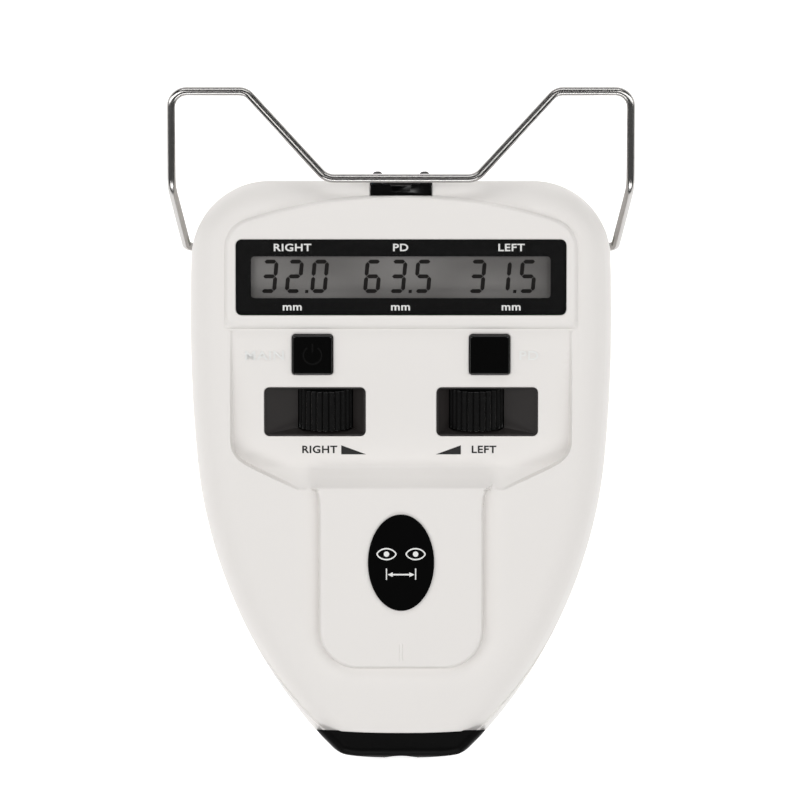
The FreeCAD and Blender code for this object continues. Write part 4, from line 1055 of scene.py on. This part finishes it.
def noded_mesh(tree, values):
    """Plain mesh made by a Geometry Nodes tree with named inputs."""
    host = linked("noded", bpy.data.meshes.new("noded"))
    modifier = host.modifiers.new("nodes", "NODES")
    modifier.node_group = tree
    for item in tree.interface.items_tree:
        if item.in_out == "INPUT" and item.name in values:
            modifier[item.identifier] = values[item.name]
    return baked(host)


def lathe(profile, segments, name):
    """A closed solid of revolution about Z from (radius, height) points, both ends on the axis."""
    work = bmesh.new()
    rings = []
    for radius, height in profile:
        if radius == 0:
            rings.append([work.verts.new((0, 0, height))])
        else:
            rings.append([work.verts.new((radius * math.cos(2 * math.pi * k / segments),
                                          radius * math.sin(2 * math.pi * k / segments), height))
                          for k in range(segments)])
    for a, b in zip(rings, rings[1:]):
        for k in range(segments):
            n = (k + 1) % segments
            loop = [a[k % len(a)], a[n % len(a)], b[n % len(b)], b[k % len(b)]]
            unique = [v for i, v in enumerate(loop) if v not in loop[:i]]
            if len(unique) > 2:
                work.faces.new(unique)
    bmesh.ops.recalc_face_normals(work, faces=work.faces)
    return mesh_from(name, work)


def hull(name, corners, matrix):
    """A convex body round some corners, only used to cut another piece."""
    work = bmesh.new()
    for corner in corners:
        work.verts.new(corner)
    made = bmesh.ops.convex_hull(work, input=work.verts)
    spare = [v for v in made["geom_interior"] if isinstance(v, bmesh.types.BMVert)]
    bmesh.ops.delete(work, geom=spare, context="VERTS")
    work.transform(matrix)
    bmesh.ops.recalc_face_normals(work, faces=work.faces)
    return object_from(name, work)


def wheel_matrix(sign):
    """From a thumbwheel's own frame, with its axle along Z, in millimetres, to the part's frame in metres."""
    place = Matrix.Translation((sign * WHEEL_X, 0, -WHEEL_DEPTH)) @ Matrix.Rotation(-math.pi / 2, 4, "X")
    return panel_matrix() @ place


def trough_mesh(sign):
    """Black trough: a shallow ramp, a steep ramp, a lower wall that leans in, and room for the wheel."""
    middle, wheel = sign * WELL_X, sign * WHEEL_X
    outline = rounded_rectangle(WELL_SIZE[0] - 0.2, WELL_SIZE[1] - 0.2, 1.9, (middle, 0))
    block = slab_mesh([outline], -13.5, -0.2, panel_matrix())
    half, back, front, chord, deep = WELL_SIZE[0] / 2 - 0.75, 8.95, -9.1, 10.4, -5.6
    over, rim = [(front, 1), (back, 1)], [(front + 0.2, -0.75), (back, -0.75)]
    bottom = [(front + 1.5, deep), (back - 0.2, deep)]
    spaces = [((middle + end * half, over + rim), (wheel + end * chord, over + bottom)) for end in (-1, 1)]
    spaces.append(tuple((wheel + end * chord, over + rim + bottom) for end in (-1, 1)))
    tools = []
    for space in spaces:
        corners = [(x, y, z) for x, profile in space for y, z in profile]
        tools.append(hull("trough_space", corners, panel_matrix()))
    for radius, low, high, steps in ((WHEEL_RADIUS + 0.35, -8.5, 8.5, 128), (3.1, -9, 20, 48)):
        mesh = lathe([(0, low), (radius, low), (radius, high), (0, high)], steps, "round_space")
        mesh.transform(wheel_matrix(sign))
        tools.append(linked("round_space", mesh))
    return less(block, tools)


class PD_OT_thumbwheels(bpy.types.Operator):
    """Make the two ribbed thumbwheels and the troughs they sit in"""
    bl_idname = "pd.thumbwheels"
    bl_label = "Thumbwheels and troughs"

    def execute(self, context):
        settings = context.scene.pd_wheels
        tree = rib_nodes()
        core = WHEEL_RADIUS - 1.0
        half = WHEEL_WIDTH / 2
        edge = [(0, half), (core - 0.8, half), (core, half - 0.5)]
        profile = [(radius, -height) for radius, height in edge] + edge[::-1]
        values = {"Ribs": settings.ribs, "Ring": (core + 1.0 - settings.rib_radius) * MM,
                  "Rib radius": settings.rib_radius * MM, "Length": (WHEEL_WIDTH - 0.7) * MM,
                  "Material": finish_of("wheel")}
        for side, sign in SIDES:
            place = wheel_matrix(sign)
            wheel = lathe(profile, 112, "core")
            wheel.transform(place)
            ribs = noded_mesh(tree, values)
            ribs.transform(place @ Matrix.Scale(1 / MM, 4))
            hub = lathe([(0, 8.0), (3, 8.0), (3, 14.2), (0, 14.2)], 48, "hub")
            hub.transform(place)
            mesh = joined(side + "_wheel", [wheel, ribs, hub])
            piece = moved_mesh(side + "_ribbed_wheel", mesh, side + "_wheel", "wheel", 40, 0.14, 2)
            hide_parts(side + "_thumbwheel")
            mesh = trough_mesh(sign)
            trough = moved_mesh(side + "_trough_moulding", mesh, "case", "trough", 30, 0.22)
            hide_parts(side + "_wheel_trough")
            for node, finish in (("_pinion", "acetal"), ("_wheel_axle", "zinc"), ("_carriage", "acetal"),
                                 ("_hairline", "zinc"), ("_position_sensor", "satin")):
                dress(side + node, finish)
        return {"FINISHED"}


# ------------------------------------------------------------------ badge

def oval(half_x, half_y, centre=(0, 0), steps=72):
    """Points of an ellipse."""
    angles = [2 * math.pi * k / steps for k in range(steps)]
    return [(centre[0] + half_x * math.cos(a), centre[1] + half_y * math.sin(a)) for a in angles]


def eye_shape(centre, half, lift):
    """Almond outline of an eye."""
    points = []
    for k in range(36):
        angle = math.pi * k / 18
        rise = math.copysign(lift * abs(math.sin(angle)) ** 1.3, math.sin(angle))
        points.append((centre[0] + half * math.cos(angle), centre[1] + rise))
    return points


class PD_OT_badge(bpy.types.Operator):
    """Make the oval badge with a plain sign: two eyes and the distance between them"""
    bl_idname = "pd.badge"
    bl_label = "Badge"

    def execute(self, context):
        matrix = tongue_matrix(BADGE_Y)
        plate = slab_mesh([oval(*BADGE_HALF)], -0.3, BADGE_FACE, matrix)
        piece = moved_mesh("badge_plate", plate, "case", "gloss", 35, 0.35)
        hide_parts("badge")
        half, lift, line = 3.9, 2.4, 0.55
        eyes = [(sign * 5.6, 3.4) for _, sign in SIDES]
        ink = (BADGE_FACE, BADGE_FACE + INK, matrix)
        lids = slab_mesh([eye_shape(eye, half, lift) for eye in eyes], *ink,
                         [eye_shape(eye, half - line, lift - line) for eye in eyes])
        pupils = [oval(1.05, 1.05, eye, 24) for eye in eyes]
        bars = [[(x - 0.22, -6.6), (x + 0.22, -6.6), (x + 0.22, -2.2), (x - 0.22, -2.2)] for x, _ in eyes]
        tip, head, level = 5.2, 3.2, -4.6
        point = [(-head, level + 0.9), (-head, level + 0.3), (head, level + 0.3), (head, level + 0.9)]
        arrow = [(-tip, level), *point, (tip, level), *[(x, 2 * level - y) for x, y in point[::-1]]]
        marks = slab_mesh(pupils + bars + [arrow], *ink)
        piece = moved_mesh("badge_sign", joined("sign", [lids, marks]), "case", "white_ink")
        return {"FINISHED"}


# ------------------------------------------------------------------ front and rear fittings

def cap_trim():
    """Everything outside the end cap's plan outline, whose rear corners are round."""
    side = smooth_path([(33.6, -110.4), (29.6, -115.1), (26.2, -118.4), (23.4, -120.3), (20.0, -121.3),
                        (11.0, -122.1), (0.0, -122.4)], 6)
    outline = [(36, -100)] + side + [(-x, y) for x, y in reversed(side[:-1])] + [(-36, -100)]
    beyond = [(60, -99), (60, -140), (-60, -140), (-60, -99)]
    mesh = slab_mesh([beyond], -5, 60, Matrix.Scale(MM, 4), [outline])
    return linked("cap_trim", mesh)


class PD_OT_fittings(bpy.types.Operator):
    """Finish the forehead rest, nose rest, front plate, end cap and the parts inside"""
    bl_idname = "pd.fittings"
    bl_label = "Rests, end cap and inner parts"

    def execute(self, context):
        finished_node("forehead_rest", "forehead_wire", "wire", 0, 50)
        cap = less(merged_copy("end_cap"), [cap_trim()])
        piece = moved_mesh("end_cap_moulding", cap, "case", "cap", 40)
        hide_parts("end_cap")
        finished_node("nose_rest_bracket", "case", "gloss", 0.2)
        finished_node("front_plate", "case", "satin", 0.15)
        finished_node("eyepiece_ring", "case", "satin", 0.15)
        for side, _ in SIDES:
            finished_node(side + "_nose_pad", side + "_pad", "silicone", 0.4)
            finished_node(side + "_pivot_bush", "case", "acetal", 0.2)
            finished_node(side + "_window", "case", "glass", 0.1)
        finished_node("eyepiece_lens", "case", "glass", 0, 50)
        for node, finish in (("nose_pad_pins", "zinc"), ("optical_chassis", "satin"), ("guide_rods", "zinc"),
                             ("objective_lens", "glass"), ("lens_holder", "satin"), ("target_lamp", "board"),
                             ("battery_cells", "sleeve"), ("battery_contacts", "brass"),
                             ("target_carriage", "satin"), ("occluder_blade", "satin")):
            dress(node, finish)
        return {"FINISHED"}


# ------------------------------------------------------------------ stage

class PD_OT_stage(bpy.types.Operator):
    """Make the pale floor, the studio light and the camera"""
    bl_idname = "pd.stage"
    bl_label = "Stage"

    def execute(self, context):
        settings = context.scene.pd_stage
        scene = context.scene
        work = bmesh.new()
        bmesh.ops.create_grid(work, x_segments=8, y_segments=8, size=3)
        floor = object_from("floor", work)
        material, _, shader = surface("pale_floor", srgb("F7F7F7"), 0.9, Specular_IOR_Level=0.0)
        shader.inputs["Emission Color"].default_value = srgb("FFFFFF")
        shader.inputs["Emission Strength"].default_value = 0.6
        floor.data.materials.append(material)
        world = bpy.data.worlds.new("studio")
        world.use_nodes = True
        world.node_tree.nodes["Background"].inputs["Color"].default_value = srgb("FFFFFF")
        world.node_tree.nodes["Background"].inputs["Strength"].default_value = settings.sky
        scene.world = world
        for name, place, size, power in (("softbox_left", (-0.8, 0.1, 1.0), (0.5, 1.5), 8.7),
                                         ("softbox_right", (0.8, 0.1, 1.0), (0.5, 1.5), 7.9),
                                         ("softbox_front", (0.0, 1.2, 0.9), (1.4, 0.4), 4.8),
                                         ("softbox_near", (0.0, -1.15, 0.75), (1.6, 0.4), 7.8)):
            data = bpy.data.lights.new(name, "AREA")
            data.shape = "RECTANGLE"
            data.size, data.size_y = size
            data.energy = power
            lamp = bpy.data.objects.new(name, data)
            lamp.location = place
            aim = Vector((0, 0, 0.03)) - Vector(place)
            lamp.rotation_euler = aim.to_track_quat("-Z", "Y").to_euler()
            scene.collection.objects.link(lamp)
        data = bpy.data.cameras.new("camera")
        data.lens = settings.lens
        data.sensor_width = 36
        camera = bpy.data.objects.new("camera", data)
        distance = settings.span * settings.lens / data.sensor_width
        camera.location = (-0.0004, 0.0158, 0.05 + distance)
        data.clip_end = 20
        scene.collection.objects.link(camera)
        scene.camera = camera
        scene.view_settings.view_transform = "Standard"
        return {"FINISHED"}


OPERATORS = (PD_OT_stage, PD_OT_upper_shell, PD_OT_lower_shell, PD_OT_display, PD_OT_controls,
             PD_OT_thumbwheels, PD_OT_badge, PD_OT_fittings)


class PD_PT_panel(bpy.types.Panel):
    """Lists the pieces and their settings"""
    bl_idname = "PD_PT_panel"
    bl_label = "PD Meter"
    bl_space_type = "VIEW_3D"
    bl_region_type = "UI"
    bl_category = "PD Meter"

    def draw(self, context):
        for group in ("pd_housing", "pd_wheels", "pd_stage"):
            settings = getattr(context.scene, group)
            for name in settings.__annotations__:
                self.layout.prop(settings, name)
        for operator in OPERATORS:
            self.layout.operator(operator.bl_idname)


GROUPS = (("pd_housing", HousingSettings), ("pd_wheels", WheelSettings), ("pd_stage", StageSettings))


def register():
    """Register the classes and hang the settings on the scene."""
    for name, group in GROUPS:
        bpy.utils.register_class(group)
        setattr(bpy.types.Scene, name, PointerProperty(type=group))
    for item in (*OPERATORS, PD_PT_panel):
        bpy.utils.register_class(item)


def unregister():
    """Undo register()."""
    for item in reversed((*OPERATORS, PD_PT_panel)):
        bpy.utils.unregister_class(item)
    for name, group in GROUPS:
        delattr(bpy.types.Scene, name)
        bpy.utils.unregister_class(group)


def main():
    """Register the add-on and build everything."""
    register()
    for operator in OPERATORS:
        family, name = operator.bl_idname.split(".")
        getattr(getattr(bpy.ops, family), name)()


if __name__ == "__main__":
    main()
